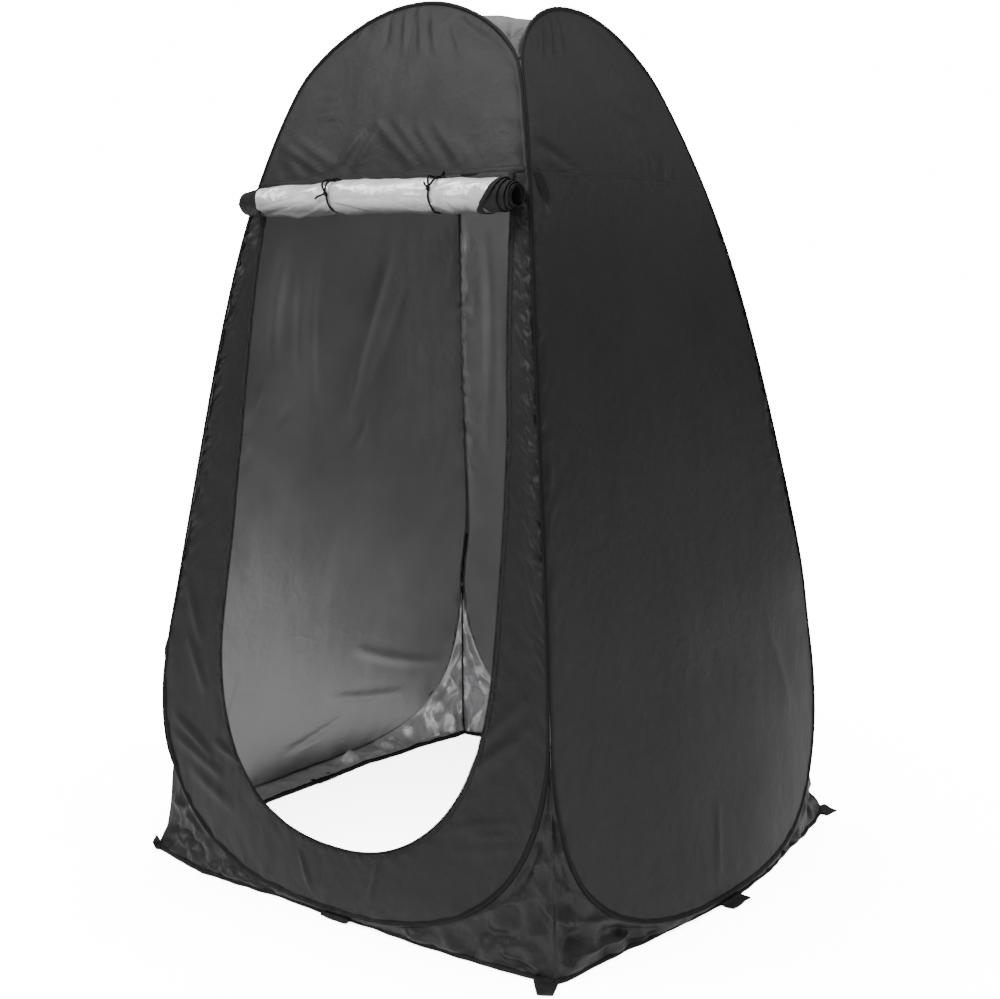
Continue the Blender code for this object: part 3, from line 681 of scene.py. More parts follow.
def patch(bottom, right, top, left):
    """A grid of (u, z) points spread evenly between four lines that meet at their ends."""
    p = np.linspace(0.0, 1.0, len(bottom))[None, :, None]
    q = np.linspace(0.0, 1.0, len(left))[:, None, None]
    ruled = (1 - q) * bottom[None] + q * top[None] + (1 - p) * left[:, None] + p * right[:, None]
    return ruled - ((1 - p) * (1 - q) * bottom[0] + p * (1 - q) * bottom[-1] + (1 - p) * q * top[0] + p * q * top[-1])


def split_line(line, *heights):
    """A climbing line cut at heights into its parts."""
    cuts = [0] + [int(np.abs(line[:, 1] - z).argmin()) for z in heights] + [len(line) - 1]
    return [line[first:last + 1] for first, last in zip(cuts, cuts[1:])]


def cloth_piece(name, grid, relief, side, materials=None, thickness=CLOTH, lift=0.0):
    """A sheet of cloth on a wall: a fine grid, given its thickness with its silver coat inside."""
    u, z = grid[..., 0], grid[..., 1]
    points = wall_points(u, z, side, relief + lift)
    faces = grid_faces(*u.shape)
    finishes = materials or (outer_cloth, shaded_silver_coat)
    piece = mesh_piece(name, points.reshape(-1, 3), faces, grid.reshape(-1, 2), finishes)
    thicken(piece, thickness, turned((0.0, -1.0, 0.2), side))
    return piece


def thicken(piece, thickness, out, coats=1):
    """Give a single layer its thickness, with the materials that follow the outer ones on its inner face."""
    normals = np.zeros(len(piece.data.polygons) * 3)
    piece.data.polygons.foreach_get("normal", normals)
    if (normals.reshape(-1, 3) @ np.asarray(out, float)).sum() < 0:
        piece.data.flip_normals()
    bpy.ops.object.select_all(action="DESELECT")
    bpy.context.view_layer.objects.active = piece
    piece.select_set(True)
    layer = piece.modifiers.new("layers", "SOLIDIFY")
    layer.thickness = thickness
    layer.offset = 0.0
    layer.material_offset = coats
    bpy.ops.object.modifier_apply(modifier=layer.name)
    piece.select_set(False)


def oval_grid(side, columns, rows):
    """The whole inside of a hoop as an even grid of (u, z) points."""
    line = hoop_edges[side]
    low = HOOP_SPLIT_LOW - (HOOP_SPLIT_LOW - HOOP_BOTTOM) * 0.5 ** (1 / LOW_ROUNDNESSES[side])
    high = HOOP_SPLIT_HIGH + (HOOP_TOPS[side] - HOOP_SPLIT_HIGH) * 0.5 ** (1 / HIGH_ROUNDNESSES[side])
    foot, flank, crown = split_line(line, low, high)
    bottom = evenly(np.concatenate([mirrored(foot)[::-1], foot[1:]]), columns)
    top = evenly(np.concatenate([mirrored(crown[::-1])[::-1], crown[::-1][1:]]), columns)
    right = evenly(flank, rows)
    return patch(bottom, right, top, mirrored(right))


def seam_strip(side, folds):
    """The felled seam across a wall, a double layer of cloth with two rows of stitches."""
    line = hoop_edges[side]
    reach = float(np.interp(SEAM_HEIGHT, line[:, 1], line[:, 0])) - 0.001
    u, z = np.meshgrid(np.linspace(-reach, reach, 170), SEAM_HEIGHT + np.linspace(-0.5, 0.5, 5) * SEAM_WIDTH)
    relief = wall_relief(side, u, z, folds) + CLOTH / 2
    bulge = 0.0007 * (1 - (2 * (z - SEAM_HEIGHT) / SEAM_WIDTH) ** 4)
    ring = np.concatenate([wall_points(u, z, side, relief + bulge), wall_points(u, z, side, relief - 0.0006)[::-1]])
    places = np.stack([np.concatenate([u, u[::-1]]), np.concatenate([z, z[::-1]]) - SEAM_HEIGHT + SEAM_WIDTH / 2],
                      axis=-1)
    rows, columns = ring.shape[:2]
    faces = grid_faces(rows, columns, True, False).tolist()
    for j in (0, columns - 1):
        faces.append([i * columns + j for i in range(rows)])
    strip = mesh_piece(side + "_seam", ring.reshape(-1, 3), faces, places.reshape(-1, 2), (seam_cloth,))
    turn_out(strip)
    fit(strip, "black_taffeta")
    return strip


for side in ("right", "back", "left"):
    folds = WALL_FOLDS[side]
    grid = oval_grid(side, *WALL_CELLS[side])
    wall = cloth_piece(side + "_wall", grid, wall_relief(side, grid[..., 0], grid[..., 1], folds), side)
    fit(wall, "black_taffeta", side + "_upper_panel", side + "_lower_panel")
    seam = seam_strip(side, folds)

# Front wall: a cloth over the doorway, and a surround cut round the doorway in one U, sewn together at the seam.
# It is the same coated taffeta as the other walls, puckered along its hoop and along its zip.
DOOR_BOTTOM, DOOR_ROUND_TOP, DOOR_ROUNDNESS = 0.152, 0.600, 2.32
DOOR_HALF_LOW, DOOR_HALF_HIGH, DOOR_TAPER = 0.381, 0.323, 1.8
DOOR_SHIFT, DOOR_SHIFT_END = 0.0225, 1.03
ZIP_WIDTH, ZIP_LAP = 0.013, 0.003
TOP_CELLS, SURROUND_CELLS = (103, 51), (619, 38)
# The ripples that the zip draws in the cloth: spacing, reach, height and slant. The fine ones die out higher up.
FINE_RIPPLES, BROAD_RIPPLES = (0.011, 0.012, 0.0030, 0.5), (0.034, 0.030, 0.0024, -0.7)
FINE_TOP, FINE_EASE, FINE_LEAST = 1.30, 0.25, 0.25
WALL_FOLDS["front"] = [
    ((-0.070, 1.890), (-0.060, 1.812), 0.007, -0.0023),
    ((-0.026, 1.895), (-0.006, 1.795), 0.007, 0.0028),
    ((0.012, 1.890), (0.043, 1.785), 0.007, 0.0029),
    ((0.043, 1.888), (0.080, 1.787), 0.007, 0.0028),
    ((0.100, 1.850), (0.149, 1.767), 0.008, 0.0027, 0.004),
    ((0.105, 1.866), (0.250, 1.775), 0.012, -0.0046, -0.006),
    ((-0.242, 1.798), (-0.125, 1.880), 0.007, -0.0026),
    ((-0.245, 1.722), (-0.160, 1.716), 0.006, 0.0019),
    ((-0.238, 1.698), (-0.155, 1.695), 0.006, 0.0019),
    ((-0.232, 1.677), (-0.145, 1.676), 0.006, 0.0017),
    ((-0.345, 1.640), (-0.165, 1.548), 0.009, 0.0030),
    ((-0.290, 1.642), (-0.128, 1.556), 0.01, 0.0027),
    ((-0.310, 1.600), (-0.230, 1.545), 0.007, 0.0019),
    ((-0.080, 1.634), (-0.142, 1.562), 0.009, 0.0029),
    ((-0.040, 1.630), (-0.094, 1.556), 0.009, 0.0025),
    ((-0.055, 1.658), (0.090, 1.546), 0.01, 0.0035),
    ((-0.005, 1.660), (0.125, 1.548), 0.009, 0.0031),
    ((0.062, 1.642), (0.152, 1.548), 0.009, 0.0033),
    ((0.103, 1.645), (0.205, 1.546), 0.009, 0.0031),
    ((0.150, 1.620), (0.230, 1.550), 0.008, 0.0017),
    ((-0.510, 0.338), (-0.355, 0.262), 0.009, 0.0063, 0.003),
    ((-0.510, 0.292), (-0.322, 0.228), 0.011, 0.0063, 0.003),
    ((-0.360, 0.303), (-0.272, 0.277), 0.009, 0.0049),
    ((-0.475, 0.525), (-0.395, 0.400), 0.012, 0.0046),
    ((-0.495, 0.650), (-0.425, 0.510), 0.012, 0.0041),
    ((-0.450, 0.230), (-0.280, 0.165), 0.014, 0.0046),
    ((-0.074, 0.125), (-0.029, 0.034), 0.006, 0.0041),
    ((0.155, 0.152), (0.131, 0.058), 0.006, 0.0035),
    ((0.320, 0.252), (0.490, 0.300), 0.009, 0.0024),
    ((0.375, 0.247), (0.472, 0.270), 0.009, 0.0028),
    ((0.335, 0.208), (0.500, 0.252), 0.009, 0.0019),
    ((0.492, 0.540), (0.384, 0.425), 0.01, 0.0057),
    ((0.508, 0.492), (0.366, 0.354), 0.01, 0.0059),
    ((0.476, 0.460), (0.364, 0.373), 0.011, 0.0041),
]


def door_half(hand, dense=260):
    """One side of the doorway's edge, from its lowest point up to the seam, as (u towards the hand, z) points."""
    turn = np.linspace(math.pi / 2, 0.0, dense)
    power = 2 / DOOR_ROUNDNESS
    u = [DOOR_HALF_LOW * np.maximum(np.cos(turn), 0.0) ** power]
    z = [DOOR_ROUND_TOP - (DOOR_ROUND_TOP - DOOR_BOTTOM) * np.sin(turn) ** power]
    share = np.linspace(0.0, 1.0, dense)[1:]
    u.append(DOOR_HALF_LOW + (DOOR_HALF_HIGH - DOOR_HALF_LOW) * share ** DOOR_TAPER)
    z.append(DOOR_ROUND_TOP + (SEAM_HEIGHT - DOOR_ROUND_TOP) * share)
    u, z = np.concatenate(u), np.concatenate(z)
    u = u + hand * DOOR_SHIFT * np.minimum((SEAM_HEIGHT - z) / (SEAM_HEIGHT - DOOR_SHIFT_END), 1.0)
    return np.stack([u, z], axis=-1)


def door_edge(distance, count):
    """The whole doorway's edge from its top left round its foot to its top right, moved out by a distance."""
    left, right = mirrored(door_half(-1)), door_half(1)
    line = evenly(np.concatenate([left[::-1], right[1:]]), 1200)
    run = np.gradient(line, axis=0)
    run[0], run[-1] = (0.0, -1.0), (0.0, 1.0)
    run = unit(run)
    moved = line + np.stack([run[:, 1], -run[:, 0]], axis=-1) * distance
    moved[0, 1] = moved[-1, 1] = SEAM_HEIGHT
    return evenly(moved, count)


door_line = door_edge(0.0, 900)


def front_relief(u, z):
    """The front wall's relief, with the small slanted ripples along its zip."""
    relief = wall_relief("front", u, z, WALL_FOLDS["front"])
    gap, place = beside(door_line, u, z)
    near = within((SEAM_HEIGHT + 0.02 - z) / 0.03)
    low = np.clip((FINE_TOP - z) / FINE_EASE, FINE_LEAST, 1.0)
    relief += near * low * puckers(place, gap, *FINE_RIPPLES, 701)
    return relief + near * puckers(place, gap, *BROAD_RIPPLES, 702)


jamb_part, crown_part = split_line(hoop_edges["front"], SEAM_HEIGHT)
high = HOOP_SPLIT_HIGH + (HOOP_TOPS["front"] - HOOP_SPLIT_HIGH) * 0.5 ** (1 / HIGH_ROUNDNESSES["front"])
flank, crown = split_line(crown_part, high)
flank[0, 1] = SEAM_HEIGHT
columns, rows = TOP_CELLS[0] + 1, TOP_CELLS[1] + 1
bottom = np.stack([np.linspace(-flank[0, 0], flank[0, 0], columns), np.full(columns, SEAM_HEIGHT)], axis=-1)
top = evenly(np.concatenate([mirrored(crown[::-1])[::-1], crown[::-1][1:]]), columns)
right = evenly(flank, rows)
grid = patch(bottom, right, top, mirrored(right))
top_panel = cloth_piece("front_top", grid, front_relief(grid[..., 0], grid[..., 1]), "front")
fit(top_panel, "black_taffeta", "front_top_panel")

columns, rows = SURROUND_CELLS[0] + 1, SURROUND_CELLS[1] + 1
inner = door_edge(ZIP_WIDTH - ZIP_LAP, columns)
outer_right = evenly(jamb_part, columns // 2 + 1)
outer_right[-1, 1] = SEAM_HEIGHT
outer = evenly(np.concatenate([mirrored(outer_right)[::-1], outer_right[1:]]), columns)
# The rows lie closer together by the two edges, where the ripples are.
even = np.linspace(0.0, 1.0, rows)
share = (0.6 * even + 0.4 * (0.5 - 0.5 * np.cos(even * math.pi)))[:, None, None]
grid = inner[None] * (1 - share) + outer[None] * share
surround = cloth_piece("door_surround", grid, front_relief(grid[..., 0], grid[..., 1]), "front")
fit(surround, "black_taffeta", "front_left_jamb", "front_right_jamb", "front_sill")

strip = seam_strip("front", WALL_FOLDS["front"])

# Door zip: a woven tape sewn round the doorway, with a moulded coil along its edge that the door's half closes on.
# The tape is folded over the cloth's cut edge and puckers a little between its stitches.
ZIP_THICKNESS = 0.0012
ZIP_ROWS = np.array((0.0005, 0.0020, 0.0038, 0.0055, 0.0080, 0.0105, ZIP_WIDTH))
PLAIN_EDGE = 0.0040
TAPE_PUCKER, TAPE_RISE, EDGE_TURN = 0.0007, 0.0010, 0.0014
TOOTH_SIZE, TOOTH_BEVEL, TOOTH_PITCH = (0.0038, 0.0030, 0.0019), 0.0006, 0.0034
grid = np.stack([door_edge(distance, len(door_line)) for distance in ZIP_ROWS])
u, z = grid[..., 0], grid[..., 1]
gap, place = beside(door_line, u, z)
relief = front_relief(u, z) + TAPE_PUCKER * rolling(place / 0.007, gap / 0.006, 801)
relief += TAPE_RISE * within((ZIP_WIDTH - gap) / 0.004) - EDGE_TURN * np.exp(-(gap / 0.003) ** 2)
zip_cloth = cloth_finish("zip_tape_black", (0.003, 0.003, 0.003), (0.006, 0.006, 0.006), 0.60, gloss=0.2,
                         weave=0.0030, crease=(260.0, 0.0006))
zip_edge = cloth_finish("zip_edge_sewn", (0.010, 0.010, 0.0105), (0.015, 0.015, 0.0155), 0.50, gloss=0.3,
                        crease=(180.0, 0.0014), rows=(0.0060, 0.0106), thread=(0.001, 0.001, 0.001),
                        stitch=(0.0056, 0.0016))
kinds = np.repeat(((ZIP_ROWS[1:] + ZIP_ROWS[:-1]) / 2 > PLAIN_EDGE).astype(int), grid.shape[1] - 1)
points = wall_points(u, z, "front", relief)
places = np.stack([place, gap], axis=-1)
tape = mesh_piece("zip_tape", points.reshape(-1, 3), grid_faces(*u.shape), places.reshape(-1, 2),
                  (zip_cloth, zip_edge, zip_cloth, zip_cloth), kinds)
tape.data.flip_normals()
thicken(tape, ZIP_THICKNESS, (0.0, -1.0, 0.2), 2)
fit(tape, "webbing_black", "door_zip")

bpy.ops.mesh.primitive_cube_add(size=1.0)
tooth = bpy.context.object
tooth.scale = TOOTH_SIZE
bpy.ops.object.transform_apply(scale=True)
bpy.ops.object.mode_set(mode="EDIT")
bpy.ops.mesh.select_all(action="SELECT")
bpy.ops.mesh.bevel(offset=TOOTH_BEVEL, segments=1)
bpy.ops.object.mode_set(mode="OBJECT")
model = np.array([v.co for v in tooth.data.vertices])
model_faces = [list(face.vertices) for face in tooth.data.polygons]
bpy.data.objects.remove(tooth)
count = round(length_of(door_line) / TOOTH_PITCH)
line = door_edge(0.0002, count)
relief = front_relief(line[:, 0], line[:, 1])
centre = wall_points(line[:, 0], line[:, 1], "front", relief)
along = unit(np.gradient(centre, axis=0))
out = np.tile((0.0, -1.0, 0.0), (count, 1))
sideways = unit(np.cross(along, out))
out = np.cross(sideways, along)
teeth = (centre[:, None] + sideways[:, None] * model[None, :, :1] + out[:, None] * model[None, :, 1:2]
         + along[:, None] * model[None, :, 2:])
faces = [[corner + number * len(model) for corner in face] for number in range(count) for face in model_faces]
places = np.zeros((count * len(model), 2))
coil_black = cloth_finish("coil_black", (0.003, 0.003, 0.003), (0.006, 0.006, 0.006), 0.45, gloss=0.3,
                          crease=(200.0, 0.00005))
coil = mesh_piece("zip_coil", teeth.reshape(-1, 3), faces, places, (coil_black,))
turn_out(coil)
fit(coil, "webbing_black")

# Roof: one cloth stretched between the tops of the four hoops, crowned a little and gathered at its corners.
# It is the same black taffeta with its silver coat below.
ROOF_RISE = 0.005
ROOF_START = 0.015
ROOF_SETBACK = 0.0010
ROOF_CELLS = 96
# The cloth's hills and hollows: height, and how many there are to a metre.
ROOF_WAVES = ((0.0040, 6.0), (0.0018, 17.0))
# Folds fan out from a place near each corner. The cloth is held flat over a share of its width at its edges.
ROOF_GATHER, GATHER_REACH, GATHER_PLACE, FAN_PLACE = 0.0045, 0.10, 0.20, 0.22
ROOF_HOLD = 0.12


def roof_edge(side):
    """The roof's edge by one hoop, from its wall's left to its right, square to the hoop's run."""
    line = half_hoop(side)
    line = line[line[:, 1] >= HOOP_SPLIT_HIGH + ROOF_START]
    line = np.concatenate([mirrored(line), line[::-1][1:]])
    line = evenly(line, ROOF_CELLS + 1)
    centre = wall_points(line[:, 0], line[:, 1], side)
    run = unit(np.gradient(centre, axis=0))
    inwards = turned(np.tile((0.0, 1.0, 0.0), (len(line), 1)), side)
    inwards -= run * (run * inwards).sum(axis=1, keepdims=True)
    inwards = unit(inwards)
    return centre + inwards * ROOF_SETBACK


edges = [roof_edge(side) for side in SIDES]
a = np.linspace(0.0, 1.0, ROOF_CELLS + 1)[None, :, None]
b = np.linspace(0.0, 1.0, ROOF_CELLS + 1)[:, None, None]
front_to_back = edges[0][None] * (1 - b) + edges[2][::-1][None] * b
left_to_right = edges[3][::-1][:, None] * (1 - a) + edges[1][:, None] * a
wide, deep = a * (1 - a), b * (1 - b)
points = (front_to_back * wide + left_to_right * deep) / np.maximum(wide + deep, 1e-9)
for i in (0, -1):
    for j in (0, -1):
        points[i, j] = (front_to_back[i, j] + left_to_right[i, j]) / 2
rise = ROOF_RISE * (4 * wide[..., 0]) * (4 * deep[..., 0])
x, y = points[..., 0], points[..., 1]
held = within(np.minimum(np.minimum(a, 1 - a), np.minimum(b, 1 - b))[..., 0] / ROOF_HOLD)
spoke = np.arctan2(np.abs(y) - FAN_PLACE, np.abs(x) - FAN_PLACE)
near_corner = np.exp(-np.hypot(np.abs(x) - GATHER_PLACE, np.abs(y) - GATHER_PLACE) / GATHER_REACH)
relief = sum(height * rolling(x * many, y * many, 900 + number) for number, (height, many) in enumerate(ROOF_WAVES))
relief = held * (relief + near_corner * ROOF_GATHER * rolling(spoke * 6.0, x * 3.0 + y * 2.0, 902))
points[..., 2] += relief + rise
roof = mesh_piece("roof", points.reshape(-1, 3), grid_faces(ROOF_CELLS + 1, ROOF_CELLS + 1),
                  points[..., :2].reshape(-1, 2), (outer_cloth, shaded_silver_coat))
thicken(roof, CLOTH, (0.0, 0.0, 1.0))
fit(roof, "black_taffeta", *(side + "_roof_gore" for side in SIDES))

# Corner gussets: slack cloth between two hoops' feet and the ground, one folded sheet round each corner.
# Each is sewn to both sleeves and to the ground hem, and crumples because nothing holds it flat.
slack_cloth = cloth_finish("black_taffeta_slack", (0.011, 0.011, 0.0115), (0.016, 0.016, 0.0165), 0.47, gloss=0.36,
                           crease=(24.0, 0.0009))
# Painted light: the gussets' silver coat is painted lighter than the same coating inside the walls.
lit_slack_coat = cloth_finish("silver_coat_slack_lit", (0.56, 0.56, 0.57), (0.74, 0.74, 0.75), 0.34, metal=0.55,
                          crease=(26.0, 0.0010), dust=0.05)
binding_cloth = cloth_finish("binding_black", (0.004, 0.004, 0.004), (0.008, 0.008, 0.008), 0.68, gloss=0.2,
                             weave=0.0012, crease=(50.0, 0.0004), rows=(0.002, 0.009))
GUSSET_ROWS = 180
GUSSET_CELLS = {"front_right": 60, "right_back": 30, "back_left": 44, "left_front": 38}
GUSSET_FORK = 0.600
GUSSET_TUCK = 0.0070
# Stiff cloth's straight creases: how many lines, their least pitch and what chance adds, their bend and its scale,
# and how they come and go over the cloth.
CREASE_LINES, CREASE_PITCH, CREASE_PITCH_MORE, CREASE_BEND, BEND_SCALE = 7, 0.030, 0.085, 0.012, 0.16
CREASED_SHARE, CREASED_SWING, CREASED_SCALE = 0.45, 1.2, 0.11
# A hollow's height and reach round the corner, how calm the bound corner is, and the finest crumples.
HOLLOW_TOP, HOLLOW_REACH, CORNER_CALM, CALM_REACH, CRUMPLE, CRUMPLES = 0.46, 0.13, 0.6, 0.012, 0.0012, 40.0
# How near the sleeves, the hem and the wall's middle the cloth is held flat.
SLEEVE_HOLD, HEM_HOLD, MIDDLE_HOLD, LOOSE_END = 0.022, 0.020, 0.05, 0.05
# The strip between the corners and the walls' middles: how far from a corner it starts, and how high it reaches.
STRIP_START, STRIP_EASE, STRIP_HEIGHT = 0.16, 0.12, 0.05
# The thin bound seam down each corner's inside: (across, in from the corner), in metres.
SEAM_SECTION = ((-0.0020, 0.0044), (-0.0015, 0.0062), (0.0, 0.0068), (0.0015, 0.0062), (0.0020, 0.0044))
# How far the ground edge lies outside its plain bow, by place across the wall.
GROUND_SHIFTS = {
    "front": ((-0.568, 0.006), (-0.50, 0.012), (-0.375, 0.018), (-0.262, 0.008), (-0.165, -0.003), (0.065, -0.010),
              (0.30, -0.004), (0.568, 0.006)),
    "right": ((-0.568, 0.006), (-0.545, 0.010), (-0.467, -0.004), (-0.353, -0.014), (-0.198, -0.015), (0.031, -0.003),
              (0.30, -0.006), (0.50, 0.010), (0.568, 0.016)),
    "back": ((-0.568, 0.016), (-0.40, -0.010), (0.0, -0.030), (0.40, -0.040), (0.568, -0.045)),
    "left": ((-0.568, -0.045), (-0.42, -0.060), (-0.28, -0.074), (0.0, -0.084), (0.30, -0.060), (0.45, -0.020),
             (0.568, 0.006)),
}
# How deep each corner's cloth is drawn in above the ground, and how strongly it is creased.
HOLLOWS = {"front_right": 0.012, "right_back": 0.030, "back_left": 0.018, "left_front": 0.036}
CREASING = {"front_right": 0.115, "right_back": 0.110, "back_left": 0.190, "left_front": 0.090}
# A corner's own folds, by distance round the corner and height: start, end, width, height, curl, sharp.
CORNER_FOLDS = {
    "front_right": [
        ((-0.175, 0.088), (-0.036, 0.163), 0.010, 0.013, 0.006, True),
        ((-0.040, 0.163), (0.056, 0.096), 0.010, 0.013, -0.004, True),
        ((0.050, 0.100), (0.170, 0.082), 0.012, 0.010, 0.0, True),
        ((-0.004, 0.345), (0.002, 0.170), 0.005, 0.007, 0.002, True),
        ((-0.030, 0.250), (0.012, 0.200), 0.005, 0.006, 0.0, True),
        ((0.004, 0.260), (0.045, 0.205), 0.005, 0.007, 0.0, True),
        ((-0.050, 0.215), (-0.010, 0.240), 0.005, 0.005, 0.0, True),
        ((-0.016, 0.300), (0.026, 0.285), 0.004, 0.005, 0.0, True),
        ((0.000, 0.150), (0.010, 0.010), 0.006, 0.008, 0.0, True),
        ((-0.160, 0.055), (-0.030, 0.062), 0.014, -0.012, 0.010),
        ((-0.120, 0.034), (-0.012, 0.018), 0.007, 0.009, 0.0, True),
        ((0.100, 0.060), (0.300, 0.014), 0.020, -0.018, 0.010),
        ((0.060, 0.030), (0.210, 0.030), 0.008, 0.011, 0.008, True),
        ((0.035, 0.170), (0.105, 0.130), 0.009, 0.007, 0.0, True),
        ((-0.090, 0.180), (-0.045, 0.215), 0.010, -0.006),
    ],
    "left_front": [
        ((0.020, 0.330), (0.060, 0.200), 0.006, 0.007, 0.0, True),
        ((0.010, 0.215), (0.120, 0.150), 0.010, 0.009, 0.006, True),
        ((0.000, 0.120), (0.180, 0.075), 0.012, 0.012, 0.010, True),
        ((0.010, 0.060), (0.200, 0.030), 0.010, -0.012, 0.006),
        ((0.012, 0.090), (0.100, 0.020), 0.007, 0.008, 0.0, True),
        ((-0.180, 0.070), (-0.020, 0.130), 0.012, 0.012, 0.0, True),
    ],
    "right_back": [
        ((-0.150, 0.090), (-0.020, 0.150), 0.012, 0.012, 0.0, True),
        ((0.010, 0.150), (0.160, 0.070), 0.012, 0.011, 0.0, True),
        ((-0.010, 0.340), (0.004, 0.160), 0.006, 0.007, 0.0, True),
        ((-0.120, 0.040), (0.080, 0.050), 0.014, -0.012),
    ],
    "back_left": [
        ((-0.150, 0.070), (-0.040, 0.200), 0.007, 0.010, 0.012, True),
        ((-0.200, 0.040), (-0.070, 0.130), 0.007, 0.009, 0.010, True),
        ((-0.110, 0.180), (-0.050, 0.290), 0.006, 0.008, 0.0, True),
        ((0.006, 0.310), (0.070, 0.225), 0.006, 0.009, 0.0, True),
        ((0.006, 0.260), (0.090, 0.180), 0.007, -0.009, 0.0, True),
        ((0.008, 0.200), (0.110, 0.130), 0.007, 0.009, 0.0, True),
        ((-0.090, 0.120), (0.020, 0.150), 0.010, 0.010, 0.0, True),
        ((0.010, 0.110), (0.150, 0.050), 0.012, -0.010),
    ],
}


def ground_wave(side, around, u):
    """How far the ground edge stands outside its plain bow: the cloth's own set, and small waves."""
    places, shifts = zip(*GROUND_SHIFTS[side])
    small = 0.0040 * rolling(around / 0.13, around * 0.0 + 0.4, 950)
    return np.interp(u, places, shifts) + small + 0.0028 * rolling(around / 0.045, around * 0.0, 951)


def around_at(side, u):
    """The distance round the tent's foot, from the front wall's left corner."""
    foot = half_width(0.0)
    return SIDES.index(side) * 2 * foot + foot + u


def shell_out(side, u, z):
    """The way that loose cloth moves outwards: square to its wall, turning to the corner's diagonal near it."""
    share = within(np.abs(u) / half_width(z)) ** 8
    x = np.sign(u) * share
    out = unit(np.stack([x, -np.ones_like(x), np.zeros_like(x)], axis=-1))
    return turned(out, side)


def ground_line(side, u):
    """The foot of the cloth along the ground."""
    zero = np.zeros_like(u)
    return wall_points(u, zero, side) + shell_out(side, u, zero) * ground_wave(side, around_at(side, u), u)[:, None]


def facets(a, b, seed):
    """Straight creases in several directions that meet in flat faces, as in stiff cloth that has been folded."""
    chance = np.random.default_rng(seed)
    total = 0.0
    for number in range(CREASE_LINES):
        turn = chance.random() * math.pi
        pitch = CREASE_PITCH + CREASE_PITCH_MORE * chance.random()
        start = chance.random()
        bend = CREASE_BEND * rolling(a / BEND_SCALE, b / BEND_SCALE, seed + number)
        fold = np.abs(((a * math.cos(turn) + b * math.sin(turn) + bend) / pitch + start) % 1.0 - 0.5) * 2
        swing = rolling(a / CREASED_SCALE, b / CREASED_SCALE, seed + 20 + number)
        where = within(CREASED_SHARE + CREASED_SWING * swing)
        total = total + where * (fold - 0.5) * pitch
    return total


def crumpled(name, around, height, from_corner):
    """A gusset's relief: a hollow above the ground, straight creases, and the corner's own folds."""
    climb = within(height / HOLLOW_TOP)
    hollow = -HOLLOWS[name] * np.sin(climb ** 0.8 * math.pi) * np.exp(-(from_corner / HOLLOW_REACH) ** 2)
    calm = 1 - CORNER_CALM * np.exp(-(from_corner / CALM_REACH) ** 2)
    relief = hollow + calm * CREASING[name] * facets(around, height, 962)
    relief += calm * CRUMPLE * rolling(around * CRUMPLES, height * CRUMPLES, 965)
    strip = within((np.abs(from_corner) - STRIP_START) / STRIP_EASE) * np.exp(-height / STRIP_HEIGHT)
    relief += strip * (0.004 + 0.08 * facets(around * 2.2, height * 2.2, 966))
    for fold in CORNER_FOLDS[name]:
        relief = relief + crease(from_corner, height, *fold)
    return relief


def gusset_half(name, wall, hand, first):
    """One wall's half of a gusset: its points and their places round and up the tent's foot."""
    line = inset(sleeve_line(wall), 0.0004)
    arc = line[line[:, 1] <= GUSSET_FORK]
    foot = float(half_width(0.0))
    ground = np.stack([np.linspace(0.0, foot, 200), np.full(200, 0.004)], axis=-1)
    climb = np.linspace(0.004, GUSSET_FORK, 200)
    corner_line = np.stack([half_width(climb), climb], axis=-1)
    far = np.concatenate([evenly(ground, first + 1), evenly(corner_line, GUSSET_ROWS - first + 1)[1:]])
    near = evenly(arc, GUSSET_ROWS + 1)
    flat_span = np.linalg.norm(far - near, axis=1)[:, None, None]
    tuck = np.minimum(GUSSET_TUCK / np.maximum(flat_span, 1e-6), 0.4)
    steps = np.linspace(0.0, 1.0, GUSSET_CELLS[name] - 1)[None, :, None]
    share = np.concatenate([0.0 * tuck, 0.5 * tuck, tuck + (1 - tuck) * steps], axis=1)
    grid = near[:, None] * (1 - share) + far[:, None] * share
    u, z = grid[..., 0] * hand, grid[..., 1]
    u = hand * np.minimum(np.abs(u), half_width(z))
    around = around_at(wall, u)
    from_corner = around - around_at(wall, hand * foot)
    ground_u = far[:, 0] * hand
    lean = ground_wave(wall, around_at(wall, ground_u), ground_u)
    lean = lean * within(1 - far[:, 1] / 0.06) ** 2
    lean = lean[:, None] * share[..., 0]
    base = wall_points(u, z, wall) + shell_out(wall, u, z) * lean[..., None]
    normal = np.cross(np.gradient(base, axis=0), np.gradient(base, axis=1))
    normal /= np.maximum(np.linalg.norm(normal, axis=-1, keepdims=True), 1e-12)
    facing = (normal * (shell_out(wall, u, z) + np.array((0.0, 0.0, 0.6)))).sum(axis=-1, keepdims=True)
    normal = np.where(facing < 0, -normal, normal)
    own = within((np.abs(from_corner) - 0.04) / 0.10)[..., None]
    normal = own * normal + (1 - own) * shell_out(wall, u, z)
    span = np.linalg.norm(base[:, -1] - base[:, 0], axis=1)[:, None]
    across = share[..., 0]
    fixed = within(span * across / SLEEVE_HOLD - 0.15)
    loose_end = np.where(np.arange(GUSSET_ROWS + 1) > first, within(far[:, 1] / LOOSE_END), 0.0)[:, None]
    fixed = fixed * np.maximum(within(span * (1 - across) / HEM_HOLD), loose_end)
    fixed = fixed * within(np.abs(u) / MIDDLE_HOLD)
    height = z - lean
    relief = fixed * crumpled(name, around, height, from_corner) - 0.0012 * np.exp(-(span * across / 0.0045) ** 2)
    points = base + normal * relief[..., None]
    points[..., 2] = np.maximum(points[..., 2], 0.0016)
    return points, np.stack([around, height], axis=-1)


